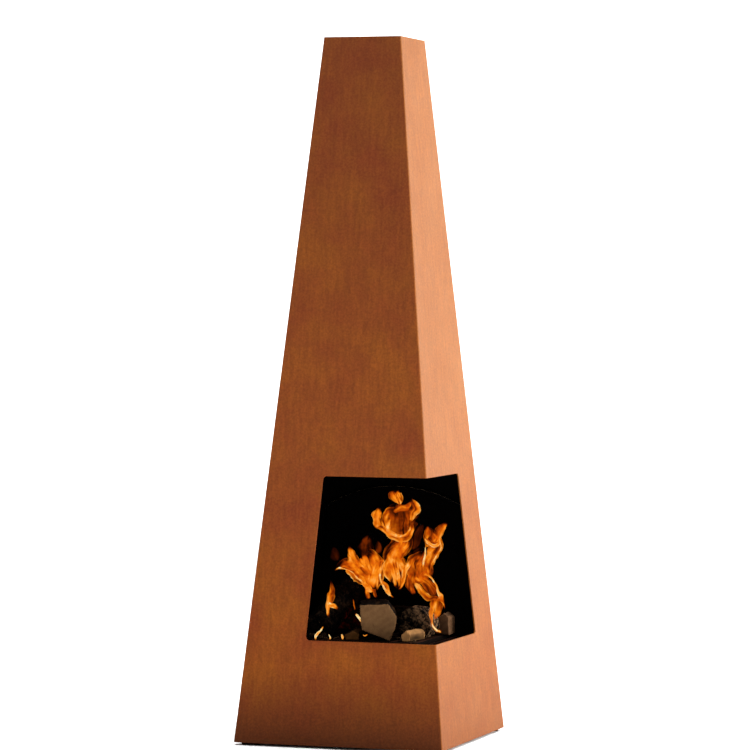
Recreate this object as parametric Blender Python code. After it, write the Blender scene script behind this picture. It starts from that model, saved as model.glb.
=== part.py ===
"""Outdoor fireplace: a tall square casing of folded weathering steel that tapers to an open flue.

Two folded sheets make the casing. The front sheet has both show faces and is cut open across its fold.
The rear sheet is screwed inside the front sheet's returned edges. A log fire lies on a cast grate, which
stands in an ash tray on the hearth plate. Metres, +Z up, with the origin on the ground under the middle
of the casing. The show faces look along -Y and +X, and the open corner points between them.
"""

import math

import bmesh
import bpy
from mathutils import Matrix, Vector

# Clearances
GAP = 0.0003
OVERRUN = 0.010

# Casing
CASING_HEIGHT = 1.494
BASE_SIDE = 0.462
TOP_SIDE = 0.1725
SHEET = 0.003
FOLD_RADIUS = 0.0045
LAP = 0.034
REAR_EDGE_CLEARANCE = 0.002

# Opening, from the ground, with its jambs measured from the corners at the sides
SILL_HEIGHT = 0.225
LINTEL_HEIGHT = 0.570
SILL_JAMB = 0.1315
LINTEL_JAMB = 0.125
OPENING_RADIUS = 0.008

# Screws and nuts of the two seams
SEAM_SCREW_COUNT = 4
SEAM_FOOT_MARGIN = 0.094
SEAM_TOP_MARGIN = 0.100
SEAM_EDGE = 0.0125
SCREW_DIAMETER = 0.005
SCREW_HEAD_OVERHANG = 0.0023
SCREW_HEAD_HEIGHT = 0.0028
SCREW_TIP = 0.0015
NUT_WALL = 0.0015
NUT_HEIGHT = 0.0047
SOCKET_WIDTH_SHARE = 0.33
SOCKET_DEPTH_SHARE = 0.15

# Base ring and foot pads
RING_THICKNESS = 0.004
RING_WIDTH = 0.046
RING_CORNER = 0.005
FOOT_HEIGHT = 0.006
FOOT_DIAMETER = 0.040
FOOT_RIM = 0.001
STUD_DIAMETER = 0.008
STUD_TIP = 0.003
FOOT_NUT_WALL = 0.0025
FOOT_NUT_HEIGHT = 0.0065

# Hearth
HEARTH_DEPTH = 0.0213
HEARTH_THICKNESS = 0.003
HEARTH_EDGE_CLEARANCE = 0.001
HEARTH_CORNER = 0.012
DRAIN_DIAMETER = 0.010
DRAIN_INSET = 0.042
LEDGE_LEG = 0.025
LEDGE_THICKNESS = 0.003
LEDGE_CORNER_CLEARANCE = 0.0137

# Firebacks
FIREBACK_THICKNESS = 0.004
FIREBACK_STANDOFF = 0.012
FIREBACK_SIDE_CLEARANCE = 0.004
FIREBACK_HEIGHT = 0.329
ARCH_RISE = 0.044
FIREBACK_BOLT_DIAMETER = 0.008
FIREBACK_BOLT_OVERHANG = 0.0035
FIREBACK_BOLT_HEAD_HEIGHT = 0.0044
FIREBACK_BOLT_TIP = 0.002
FIREBACK_BOLT_EDGE = 0.036
FIREBACK_BOLT_DROP = 0.133
FIREBACK_NUT_WALL = 0.0025
FIREBACK_NUT_HEIGHT = 0.0065
SPACER_WALL = 0.004

# Ash tray and its two lifting tabs. Its rim ends below the grate's top
TRAY_BACK_CLEARANCE = 0.0245
TRAY_JAMB_CLEARANCE = 0.0235
TRAY_SHEET = 0.002
RIM_DROP = 0.0053
TAB_SHEET = 0.002
TAB_WIDTH = 0.050
TAB_CORNER = 0.007
TAB_SLOT_WIDTH = 0.028
TAB_SLOT_HEIGHT = 0.008
TAB_SLOT_RISE = 0.002
TAB_EDGE = 0.004

# Grate
GRATE_MARGIN = 0.014
GRATE_THICKNESS = 0.009
GRATE_FRAME = 0.016
GRATE_RIB = 0.012
GRATE_BAR = 0.011
GRATE_SLOT = 0.015
GRATE_FOOT_HEIGHT = 0.006
GRATE_FOOT_DIAMETER = 0.014

# Logs, cut to suit the grate. A log's width, length and height are shares of half the grate's side, and so is
# the place of its near end's middle. This makes the pale log 80 mm across. The turn is in degrees
PALE_LOG = {"size_shares": (0.537, 1.423, 0.544), "turn": 18.0, "place_shares": (0.43, -1.02)}
CHARRED_LOG = {"size_shares": (0.510, 0.618, 0.470), "turn": 3.0, "place_shares": (0.772, -0.416)}
BACK_LOG = {"size_shares": (0.483, 1.679, 0.376), "turn": 90.0, "place_shares": (0.67, 0.705)}
LEANING_LOG = {"size_shares": (0.430, 1.578, 0.349), "turn": 0.0, "place_shares": (-0.59, -0.604)}
LEFT_STICK = {"size_shares": (0.228, 0.806, 0.148), "turn": 12.0, "place_shares": (0.027, -0.98)}
RIGHT_STICK = {"size_shares": (0.161, 0.504, 0.181), "turn": -8.0, "place_shares": (0.812, -0.94)}
SMALL_LOG = {"size_shares": (0.309, 0.403, 0.336), "turn": 2.0, "place_shares": (0.947, 0.228)}

# Outlines of the sawn ends as shares of width and height, from the middle of the underside
PALE_END_SHARES = ((-0.45, 0.29), (0.32, 0.0), (0.48, 0.40), (0.50, 0.66), (0.27, 1.0), (-0.50, 0.97))
CHARRED_END_SHARES = (
    (-0.30, 0.0), (0.34, 0.0), (0.50, 0.30), (0.44, 0.70), (0.18, 0.95), (-0.16, 1.0), (-0.42, 0.78),
    (-0.50, 0.34),
)
BACK_END_SHARES = (
    (-0.38, 0.0), (0.36, 0.0), (0.50, 0.36), (0.40, 0.80), (0.20, 1.0), (-0.24, 1.0), (-0.50, 0.52),
)
LEANING_END_SHARES = ((-0.46, 0.0), (0.46, 0.0), (0.50, 0.44), (0.30, 0.92), (-0.10, 1.0), (-0.50, 0.70))
STICK_END_SHARES = ((-0.40, 0.0), (0.46, 0.0), (0.50, 0.62), (0.10, 1.0), (-0.50, 0.55))
SMALL_END_SHARES = ((-0.44, 0.0), (0.50, 0.0), (0.46, 0.80), (0.24, 1.0), (-0.34, 0.62), (-0.50, 0.26))
# How far along a log each ring of its outline lies, and that ring's size
LOG_RING_SHARES = ((0.0, 1.0), (0.22, 0.97), (0.55, 1.0), (0.80, 0.95), (1.0, 0.91))

ROUND_SEGMENTS = 20
HOLE_SEGMENTS = 16
SCREW_SEGMENTS = 12
DOME_SEGMENTS = 4
FOLD_SEGMENTS = 5
OPENING_SEGMENTS = 6
ARCH_SEGMENTS = 28
SHARP_ANGLE = math.radians(35)

# Values that follow from the sizes above
LEAN = math.atan2((BASE_SIDE - TOP_SIDE) / 2, CASING_HEIGHT)
LEVEL_SHEET = SHEET / math.cos(LEAN)
LEVEL_GAP = GAP / math.cos(LEAN)
CASING_TOP = FOOT_HEIGHT + CASING_HEIGHT
SHOW_INSET = LEVEL_SHEET
REAR_INSET = 2 * LEVEL_SHEET + LEVEL_GAP
FIREBACK_BACK = SHEET + GAP + SHEET + FIREBACK_STANDOFF
FIREBACK_FACE = FIREBACK_BACK + FIREBACK_THICKNESS
HEARTH_TOP = SILL_HEIGHT - HEARTH_DEPTH
FIREBACK_TOP = HEARTH_TOP + FIREBACK_HEIGHT
FIREBACK_BOLT_HEIGHT = FIREBACK_TOP - FIREBACK_BOLT_DROP
TRAY_BOTTOM = HEARTH_TOP + GAP
TRAY_FLOOR = TRAY_BOTTOM + TRAY_SHEET
GRATE_BOTTOM = TRAY_FLOOR + GAP
GRATE_TOP = GRATE_BOTTOM + GRATE_FOOT_HEIGHT + GRATE_THICKNESS
TRAY_RIM = GRATE_TOP - RIM_DROP
LOG_BED = GRATE_TOP + GAP

# An outline's height becomes Z, and its extrusion then runs along Y
UPRIGHT = Matrix(((1, 0, 0, 0), (0, 0, 1, 0), (0, 1, 0, 0), (0, 0, 0, 1)))

# A wall's frame has its X along the wall, its Y out of the wall and its Z up the wall
REAR, RIGHT, FRONT, LEFT = 0.0, -math.pi / 2, math.pi, math.pi / 2


def half_side(height):
    """Half of the front sheet's outer side at a height over the ground."""
    return BASE_SIDE / 2 - (height - FOOT_HEIGHT) * math.tan(LEAN)


def wall_frame(wall):
    """The frame of a wall's outer plane, with its origin at the foot of the sheet."""
    lean = Matrix.Translation((0, BASE_SIDE / 2, FOOT_HEIGHT)) @ Matrix.Rotation(LEAN, 4, "X")
    return Matrix.Rotation(wall, 4, "Z") @ lean


def up_wall(height, depth=0.0):
    """How far up a wall's frame a height over the ground lies, at a depth inside the outer plane."""
    return (height - FOOT_HEIGHT) / math.cos(LEAN) + depth * math.tan(LEAN)


def material(name, colour, roughness, metallic=0.0):
    made = bpy.data.materials.new(name)
    made.use_nodes = True
    shader = made.node_tree.nodes["Principled BSDF"]
    shader.inputs["Base Color"].default_value = (*colour, 1.0)
    shader.inputs["Roughness"].default_value = roughness
    shader.inputs["Metallic"].default_value = metallic
    made.diffuse_color = (*colour, 1.0)
    return made


def add_object(name, bm, finish, frame=None, parent=None):
    """Makes a named object from a bmesh, with its faces out and its round sides smooth."""
    bm.normal_update()
    bmesh.ops.recalc_face_normals(bm, faces=bm.faces)
    mesh = bpy.data.meshes.new(name)
    bm.to_mesh(mesh)
    bm.free()
    mesh.shade_smooth()
    mesh.set_sharp_from_angle(angle=SHARP_ANGLE)
    mesh.materials.append(finish)
    made = bpy.data.objects.new(name, mesh)
    bpy.context.scene.collection.objects.link(made)
    made.matrix_world = frame or Matrix.Identity(4)
    if parent:
        made.parent = parent
        made.matrix_parent_inverse = parent.matrix_world.inverted()
    return made


def add_axis(name, place, parent=None):
    """An empty that carries the pieces of a moving body."""
    made = bpy.data.objects.new(name, None)
    bpy.context.scene.collection.objects.link(made)
    made.matrix_world = Matrix.Translation(place)
    if parent:
        made.parent = parent
        made.matrix_parent_inverse = parent.matrix_world.inverted()
    bpy.context.view_layer.update()
    return made


def combine(target, tool, operation="DIFFERENCE"):
    """Cuts a hidden tool out of a piece, or adds it."""
    tool.hide_render = True
    tool.display_type = "WIRE"
    step = target.modifiers.new(tool.name, "BOOLEAN")
    step.operation = operation
    step.solver = "EXACT"
    step.object = tool


def filleted(corners, segments):
    """An outline from (point, radius) corners, with an arc at each corner that has a radius."""
    outline = []
    for index, (point, radius) in enumerate(corners):
        here = Vector(point)
        if radius <= 0:
            outline.append(here)
            continue
        back = (Vector(corners[index - 1][0]) - here).normalized()
        ahead = (Vector(corners[(index + 1) % len(corners)][0]) - here).normalized()
        half_angle = back.angle(ahead) / 2
        centre = here + (back + ahead).normalized() * radius / math.sin(half_angle)
        start = here + back * radius / math.tan(half_angle) - centre
        end = here + ahead * radius / math.tan(half_angle) - centre
        for step in range(segments + 1):
            outline.append(centre + start.slerp(end, step / segments).normalized() * radius)
    return outline


def slab(outline, low, high):
    """A solid with a plan outline, from one height to another."""
    bm = bmesh.new()
    face = bm.faces.new([bm.verts.new((x, y, low)) for x, y in outline])
    raised = bmesh.ops.extrude_face_region(bm, geom=[face])["geom"]
    tops = [item for item in raised if isinstance(item, bmesh.types.BMVert)]
    bmesh.ops.translate(bm, verts=tops, vec=(0, 0, high - low))
    return bm


def lean_in(bm, height, rise):
    """Moves the points at a height in towards the middle, as the casing's corners lean over a rise."""
    shift = rise * math.tan(LEAN)
    for vert in bm.verts:
        if vert.co.z > height:
            vert.co.x -= math.copysign(shift, vert.co.x)
            vert.co.y -= math.copysign(shift, vert.co.y)


def joined(solids):
    """One bmesh that holds several separate solids."""
    whole = bmesh.new()
    for solid, place in solids:
        solid.transform(place)
        scratch = bpy.data.meshes.new("scratch")
        solid.to_mesh(scratch)
        whole.from_mesh(scratch)
        bpy.data.meshes.remove(scratch)
        solid.free()
    return whole


def bore_of(diameter, segments=HOLE_SEGMENTS):
    """The width over its corners of a bore whose flats clear a bar of this diameter."""
    return (diameter + 2 * GAP) / math.cos(math.pi / segments)


def rod(diameter, low, high, segments=HOLE_SEGMENTS):
    """A round bar along Z."""
    bm = bmesh.new()
    middle = Matrix.Translation((0, 0, (low + high) / 2))
    bmesh.ops.create_cone(
        bm, cap_ends=True, segments=segments, radius1=diameter / 2, radius2=diameter / 2,
        depth=high - low, matrix=middle,
    )
    return bm


def tube(outer, inner, low, high, segments=HOLE_SEGMENTS):
    """A hollow round bar along Z."""
    bm = bmesh.new()
    rims = []
    for level in (low, high):
        for width in (outer, inner):
            place = Matrix.Translation((0, 0, level))
            ring = bmesh.ops.create_circle(bm, segments=segments, radius=width / 2, matrix=place)
            rims.append([edge for edge in bm.edges if edge.verts[0] in ring["verts"]])
    for first, second in ((0, 1), (2, 3), (0, 2), (1, 3)):
        bmesh.ops.bridge_loops(bm, edges=rims[first] + rims[second])
    return bm


def hex_nut(diameter, wall, low, high):
    """A six-sided nut along Z, on a screw of this diameter."""
    bore = bore_of(diameter, SCREW_SEGMENTS)
    corner_radius = (diameter + 2 * wall) / math.sqrt(3)
    points = [Vector((corner_radius * math.cos(turn), corner_radius * math.sin(turn)))
              for turn in (step * math.pi / 3 for step in range(6))]
    bm = bmesh.new()
    outer = [bm.verts.new((*point, low)) for point in points]
    inner = bmesh.ops.create_circle(
        bm, segments=SCREW_SEGMENTS, radius=bore / 2, matrix=Matrix.Translation((0, 0, low)))["verts"]
    sides = [bm.edges.new((outer[step - 1], outer[step])) for step in range(6)]
    sides += [edge for edge in bm.edges if edge.verts[0] in inner]
    flat = bmesh.ops.triangle_fill(bm, edges=sides, use_beauty=True)["geom"]
    faces = [item for item in flat if isinstance(item, bmesh.types.BMFace)]
    raised = bmesh.ops.extrude_face_region(bm, geom=faces)["geom"]
    tops = [item for item in raised if isinstance(item, bmesh.types.BMVert)]
    bmesh.ops.translate(bm, verts=tops, vec=(0, 0, high - low))
    return bm


def turned(profile, segments):
    """A solid turned about Z from (radius, height) points that start and end on the axis."""
    bm = bmesh.new()
    verts = [bm.verts.new((radius, 0, height)) for radius, height in profile]
    edges = [bm.edges.new(pair) for pair in zip(verts, verts[1:])]
    bmesh.ops.spin(
        bm, geom=verts + edges, cent=(0, 0, 0), axis=(0, 0, 1), angle=2 * math.pi, steps=segments,
        use_merge=True)
    bmesh.ops.remove_doubles(bm, verts=bm.verts, dist=GAP / 100)
    return bm


def button_screw(diameter, overhang, head_height, length, tip):
    """A screw along -Z with a low domed head over Z = 0 and a round socket in it."""
    head_radius = diameter / 2 + overhang
    dome_radius = (head_height ** 2 + head_radius ** 2) / (2 * head_height)
    widest = math.asin(head_radius / dome_radius)
    socket = SOCKET_WIDTH_SHARE * head_radius
    narrowest = math.asin(socket / dome_radius)
    profile = [(0, -length), (diameter / 2 - tip, -length), (diameter / 2, tip - length), (diameter / 2, 0)]
    for step in range(DOME_SEGMENTS + 1):
        angle = widest + (narrowest - widest) * step / DOME_SEGMENTS
        height = head_height - dome_radius * (1 - math.cos(angle))
        profile.append((dome_radius * math.sin(angle), height))
    floor = profile[-1][1] - 2 * SOCKET_DEPTH_SHARE * head_radius
    profile += [(socket, floor), (0, floor)]
    return turned(profile, SCREW_SEGMENTS)


def front_sheet(steel):
    """The folded front sheet: both show faces, with returned edges that lap the rear sheet."""
    side = half_side(FOOT_HEIGHT)
    inner = side - LEVEL_SHEET
    bend = FOLD_RADIUS
    inner_bend = FOLD_RADIUS - LEVEL_SHEET
    corners = [
        ((-side, LAP - side), 0), ((-side, -side), bend), ((side, -side), bend), ((side, side), bend),
        ((side - LAP, side), 0), ((side - LAP, inner), 0), ((inner, inner), inner_bend),
        ((inner, -inner), inner_bend), ((-inner, -inner), inner_bend), ((-inner, LAP - side), 0),
    ]
    bm = slab(filleted(corners, FOLD_SEGMENTS), FOOT_HEIGHT, CASING_TOP)
    lean_in(bm, (FOOT_HEIGHT + CASING_TOP) / 2, CASING_HEIGHT)
    sheet = add_object("front_shell", bm, steel)
    combine(sheet, opening_cutter("cut_opening_front", FRONT, 1, steel))
    combine(sheet, opening_cutter("cut_opening_right", RIGHT, -1, steel))
    combine(sheet, seam_hole_cutter("cut_front_seam", steel))
    return sheet


def opening_cutter(name, wall, side_corner, steel):
    """A block through one show face, from its jamb past the open corner."""
    reach = side_corner * (BASE_SIDE / 2 + OVERRUN)
    low_jamb = side_corner * (half_side(SILL_HEIGHT) - SILL_JAMB)
    high_jamb = side_corner * (half_side(LINTEL_HEIGHT) - LINTEL_JAMB)
    corners = [
        ((low_jamb, SILL_HEIGHT), OPENING_RADIUS), ((-reach, SILL_HEIGHT), 0),
        ((-reach, LINTEL_HEIGHT), 0), ((high_jamb, LINTEL_HEIGHT), OPENING_RADIUS),
    ]
    behind = half_side(LINTEL_HEIGHT) - LEVEL_SHEET - OVERRUN
    bm = slab(filleted(corners, OPENING_SEGMENTS), behind, BASE_SIDE / 2 + OVERRUN)
    bm.transform(Matrix.Rotation(wall, 4, "Z") @ UPRIGHT)
    return add_object(name, bm, steel)


def rear_sheet(steel):
    """The folded rear sheet, which closes the two hidden sides inside the front sheet's laps."""
    side = half_side(FOOT_HEIGHT)
    outer = side - LEVEL_SHEET - LEVEL_GAP
    inner = outer - LEVEL_SHEET
    free_edge = side - FOLD_RADIUS - REAR_EDGE_CLEARANCE
    corners = [
        ((-outer, -free_edge), 0), ((-inner, -free_edge), 0), ((-inner, inner), FOLD_RADIUS - LEVEL_SHEET),
        ((free_edge, inner), 0), ((free_edge, outer), 0), ((-outer, outer), FOLD_RADIUS),
    ]
    bm = slab(filleted(corners, FOLD_SEGMENTS), FOOT_HEIGHT, CASING_TOP)
    lean_in(bm, (FOOT_HEIGHT + CASING_TOP) / 2, CASING_HEIGHT)
    sheet = add_object("rear_shell", bm, steel)
    combine(sheet, seam_hole_cutter("cut_rear_seam", steel))
    for wall, where in ((LEFT, "left"), (REAR, "rear")):
        combine(sheet, fireback_hole_cutter("cut_rear_bolts_" + where, wall, steel))
    return sheet


def seam_places(wall):
    """Where the seam's screws cross a hidden wall's outer plane, in that wall's frame."""
    side_corner = -1 if wall == LEFT else 1
    low = FOOT_HEIGHT + SEAM_FOOT_MARGIN
    pitch = (CASING_TOP - SEAM_TOP_MARGIN - low) / (SEAM_SCREW_COUNT - 1)
    places = []
    for index in range(SEAM_SCREW_COUNT):
        height = low + pitch * index
        places.append(Vector((side_corner * (half_side(height) - SEAM_EDGE), 0, up_wall(height))))
    return places


def out_of_wall(place):
    """A frame at a place on a wall, with its Z out of the wall."""
    return Matrix.Translation(place) @ Matrix.Rotation(-math.pi / 2, 4, "X")


def seam_hole_cutter(name, steel):
    """The screw holes of both seams."""
    depth = 2 * SHEET + GAP + OVERRUN
    holes = []
    for wall in (LEFT, REAR):
        for place in seam_places(wall):
            bar = rod(bore_of(SCREW_DIAMETER), -depth, OVERRUN)
            holes.append((bar, wall_frame(wall) @ out_of_wall(place)))
    return add_object(name, joined(holes), steel)


def seam_fasteners(wall, where, screw_steel):
    """One seam's button screws, put in from outside, and the nuts on them."""
    stack = 2 * SHEET + GAP
    length = GAP + stack + GAP + NUT_HEIGHT + SCREW_TIP
    seat = -stack - GAP
    for number, place in enumerate(seam_places(wall), 1):
        frame = wall_frame(wall) @ out_of_wall(place)
        head = frame @ Matrix.Translation((0, 0, GAP))
        screw = button_screw(SCREW_DIAMETER, SCREW_HEAD_OVERHANG, SCREW_HEAD_HEIGHT, length, SCREW_TIP / 2)
        add_object(f"seam_screw_{where}_{number}", screw, screw_steel, head)
        nut = hex_nut(SCREW_DIAMETER, NUT_WALL, seat - NUT_HEIGHT, seat)
        add_object(f"seam_nut_{where}_{number}", nut, screw_steel, frame)


def level_outline(height, edge_clearance, corner):
    """The plan outline of a level plate inside the casing, with its corners cut."""
    show = half_side(height) - SHOW_INSET - edge_clearance
    hidden = half_side(height) - REAR_INSET - edge_clearance
    return [
        (-hidden + corner, -show), (show - corner, -show), (show, -show + corner), (show, hidden - corner),
        (show - corner, hidden), (-hidden + corner, hidden), (-hidden, hidden - corner),
        (-hidden, -show + corner),
    ]


def foot_places():
    """The middles of the base ring's corners."""
    top = FOOT_HEIGHT + RING_THICKNESS
    show = half_side(top) - SHOW_INSET - LEVEL_GAP - RING_WIDTH / 2
    hidden = half_side(top) - REAR_INSET - LEVEL_GAP - RING_WIDTH / 2
    return {
        "open": (show, -show), "left": (-hidden, -show), "rear": (-hidden, hidden), "right": (show, hidden),
    }


def base_ring(steel):
    """The flat ring welded in the foot of the casing."""
    top = FOOT_HEIGHT + RING_THICKNESS
    ring = add_object("base_ring", slab(level_outline(top, LEVEL_GAP, RING_CORNER), FOOT_HEIGHT, top), steel)
    window = level_outline(top, LEVEL_GAP + RING_WIDTH, RING_CORNER)
    inside = slab(window, FOOT_HEIGHT - OVERRUN, top + OVERRUN)
    combine(ring, add_object("cut_ring_middle", inside, steel))
    holes = []
    for x, y in foot_places().values():
        bar = rod(bore_of(STUD_DIAMETER), FOOT_HEIGHT - OVERRUN, top + OVERRUN)
        holes.append((bar, Matrix.Translation((x, y, 0))))
    combine(ring, add_object("cut_foot_holes", joined(holes), steel))


def feet(pad_steel, screw_steel):
    """Four round pads, each with a welded stud through the base ring and a nut on it."""
    pad_top = FOOT_HEIGHT - GAP
    nut_seat = FOOT_HEIGHT + RING_THICKNESS + GAP
    for where, (x, y) in foot_places().items():
        place = Matrix.Translation((x, y, 0))
        pad_radius = FOOT_DIAMETER / 2
        stud_top = nut_seat + FOOT_NUT_HEIGHT + STUD_TIP
        profile = [
            (0, 0), (pad_radius - FOOT_RIM, 0), (pad_radius, FOOT_RIM), (pad_radius, pad_top),
            (STUD_DIAMETER / 2, pad_top), (STUD_DIAMETER / 2, stud_top), (0, stud_top),
        ]
        add_object("foot_pad_" + where, turned(profile, ROUND_SEGMENTS), pad_steel, place)
        nut = hex_nut(STUD_DIAMETER, FOOT_NUT_WALL, nut_seat, nut_seat + FOOT_NUT_HEIGHT)
        add_object("foot_nut_" + where, nut, screw_steel, place)


def hearth(steel, paint):
    """The hearth plate on its four welded ledges."""
    outline = level_outline(HEARTH_TOP, HEARTH_EDGE_CLEARANCE, HEARTH_CORNER)
    plate = add_object("hearth_plate", slab(outline, HEARTH_TOP - HEARTH_THICKNESS, HEARTH_TOP), paint)
    drains = []
    for turn in (math.pi / 4, -3 * math.pi / 4):
        across = math.sqrt(2) * (half_side(HEARTH_TOP) - DRAIN_INSET)
        bar = rod(DRAIN_DIAMETER, HEARTH_TOP - HEARTH_THICKNESS - OVERRUN, HEARTH_TOP + OVERRUN)
        drains.append((bar, Matrix.Rotation(turn, 4, "Z") @ Matrix.Translation((across, 0, 0))))
    combine(plate, add_object("cut_drains", joined(drains), paint))
    # A ledge's profile has its depth in Y and its height in Z, and the ledge runs along the wall
    along = Matrix(((0, 0, 1, 0), (1, 0, 0, 0), (0, 1, 0, 0), (0, 0, 0, 1)))
    reach = half_side(HEARTH_TOP) - REAR_INSET - LEDGE_LEG - LEDGE_CORNER_CLEARANCE
    for wall, where in ((FRONT, "front"), (RIGHT, "right"), (REAR, "rear"), (LEFT, "left")):
        inset = SHOW_INSET if wall in (FRONT, RIGHT) else REAR_INSET
        bm = slab(ledge_profile(inset + LEVEL_GAP), -reach, reach)
        bm.transform(along)
        add_object("hearth_ledge_" + where, bm, steel, Matrix.Rotation(wall, 4, "Z"))


def ledge_profile(inset):
    """An angle's section against a leaning wall, as (distance from the middle, height) points."""
    top = HEARTH_TOP - HEARTH_THICKNESS - GAP
    low = top - LEDGE_LEG
    shelf = top - LEDGE_THICKNESS
    points = [
        (0, low), (0, top), (LEDGE_LEG, top), (LEDGE_LEG, shelf), (LEDGE_THICKNESS, shelf),
        (LEDGE_THICKNESS, low),
    ]
    return [(half_side(height) - inset - depth, height) for depth, height in points]


def fireback_sides(height):
    """Half of a fireback's width at a height, clear of the walls and of the other fireback."""
    beside = FIREBACK_STANDOFF + FIREBACK_THICKNESS + FIREBACK_SIDE_CLEARANCE
    return half_side(height) - REAR_INSET - beside


def fireback_bolt_places():
    """The two bolts of a fireback, where they cross the wall's outer plane, in the wall's frame."""
    across = fireback_sides(FIREBACK_BOLT_HEIGHT) - FIREBACK_BOLT_EDGE
    return [Vector((side * across, 0, up_wall(FIREBACK_BOLT_HEIGHT))) for side in (-1, 1)]


def fireback_hole_cutter(name, wall, steel):
    """The two bolt holes of one fireback, through the sheet and the fireback."""
    holes = []
    for place in fireback_bolt_places():
        bar = rod(bore_of(FIREBACK_BOLT_DIAMETER), -FIREBACK_FACE - OVERRUN, OVERRUN)
        holes.append((bar, wall_frame(wall) @ out_of_wall(place)))
    return add_object(name, joined(holes), steel)


def fireback_outline():
    """A fireback's outline up its wall: a foot, sides that lean with the corners, and an arch."""
    foot = up_wall(HEARTH_TOP + GAP, FIREBACK_FACE)
    crown = up_wall(FIREBACK_TOP, FIREBACK_FACE)
    wide = fireback_sides(HEARTH_TOP)
    reach = wide - (crown - ARCH_RISE - foot) * math.sin(LEAN)
    radius = (reach ** 2 + ARCH_RISE ** 2) / (2 * ARCH_RISE)
    half_arc = math.asin(reach / radius)
    outline = [(-wide, foot), (wide, foot)]
    for step in range(ARCH_SEGMENTS + 1):
        angle = half_arc * (1 - 2 * step / ARCH_SEGMENTS)
        outline.append((radius * math.sin(angle), crown - radius * (1 - math.cos(angle))))
    return outline


def fireback(wall, where, iron, screw_steel):
    """An arched plate that stands on the hearth plate and is bolted off one hidden wall."""
    bm = slab(fireback_outline(), -FIREBACK_FACE, -FIREBACK_BACK)
    bm.transform(UPRIGHT)
    plate = add_object("fireback_" + where, bm, iron, wall_frame(wall))
    combine(plate, fireback_hole_cutter("cut_fireback_" + where, wall, iron))
    under_head = -SHEET
    nut_seat = -FIREBACK_FACE - GAP
    length = under_head - nut_seat + FIREBACK_NUT_HEIGHT + FIREBACK_BOLT_TIP
    spacer_diameter = FIREBACK_BOLT_DIAMETER + 2 * SPACER_WALL
    spacer_foot, spacer_top = GAP - FIREBACK_BACK, -(SHEET + GAP + SHEET + GAP)
    for number, place in enumerate(fireback_bolt_places(), 1):
        frame = wall_frame(wall) @ out_of_wall(place)
        bolt = button_screw(
            FIREBACK_BOLT_DIAMETER, FIREBACK_BOLT_OVERHANG, FIREBACK_BOLT_HEAD_HEIGHT, length,
            FIREBACK_BOLT_TIP / 2)
        head = frame @ Matrix.Translation((0, 0, under_head))
        add_object(f"fireback_bolt_{where}_{number}", bolt, screw_steel, head)
        spacer = tube(spacer_diameter, bore_of(FIREBACK_BOLT_DIAMETER), spacer_foot, spacer_top)
        add_object(f"fireback_spacer_{where}_{number}", spacer, screw_steel, frame)
        nut = hex_nut(FIREBACK_BOLT_DIAMETER, FIREBACK_NUT_WALL, nut_seat - FIREBACK_NUT_HEIGHT, nut_seat)
        add_object(f"fireback_nut_{where}_{number}", nut, screw_steel, frame)


def cut_square(half, half_across):
    """A square outline whose left and right corners are cut, so that it passes between the jambs."""
    cut = half_across * math.sqrt(2) - half
    return [(half, -half), (half, cut), (cut, half), (-half, half), (-half, -cut), (-cut, -half)]


def tray_halves():
    """Half of the ash tray's side, and half of its width between the jambs."""
    side = half_side(HEARTH_TOP) - FIREBACK_FACE / math.cos(LEAN) - TRAY_BACK_CLEARANCE
    sill = half_side(SILL_HEIGHT)
    between_jambs = (sill - SILL_JAMB + sill - SHOW_INSET) / math.sqrt(2)
    return side, between_jambs - TRAY_JAMB_CLEARANCE


def grate_halves():
    """Half of the grate's side, and half of its width across the cut corners."""
    return [half - TRAY_SHEET - GRATE_MARGIN for half in tray_halves()]


def ash_tray(steel, carrier):
    """A folded tray with a low rim, and a lifting tab inside the rim at each cut corner."""
    bm = slab(cut_square(*tray_halves()), TRAY_BOTTOM, TRAY_RIM)
    bm.faces.ensure_lookup_table()
    top = max(bm.faces, key=lambda face: face.calc_center_median().z)
    bmesh.ops.inset_region(bm, faces=[top], thickness=TRAY_SHEET, use_even_offset=True)
    sunk = bmesh.ops.extrude_face_region(bm, geom=[top])["geom"]
    floor = [item for item in sunk if isinstance(item, bmesh.types.BMVert)]
    bmesh.ops.translate(bm, verts=floor, vec=(0, 0, TRAY_FLOOR - TRAY_RIM))
    bmesh.ops.delete(bm, geom=[top], context="FACES_ONLY")
    add_object("ash_tray", bm, steel, parent=carrier)
    for turn, where in ((-math.pi / 4, "right"), (3 * math.pi / 4, "left")):
        lifting_tab(where, turn, steel, carrier)


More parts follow.
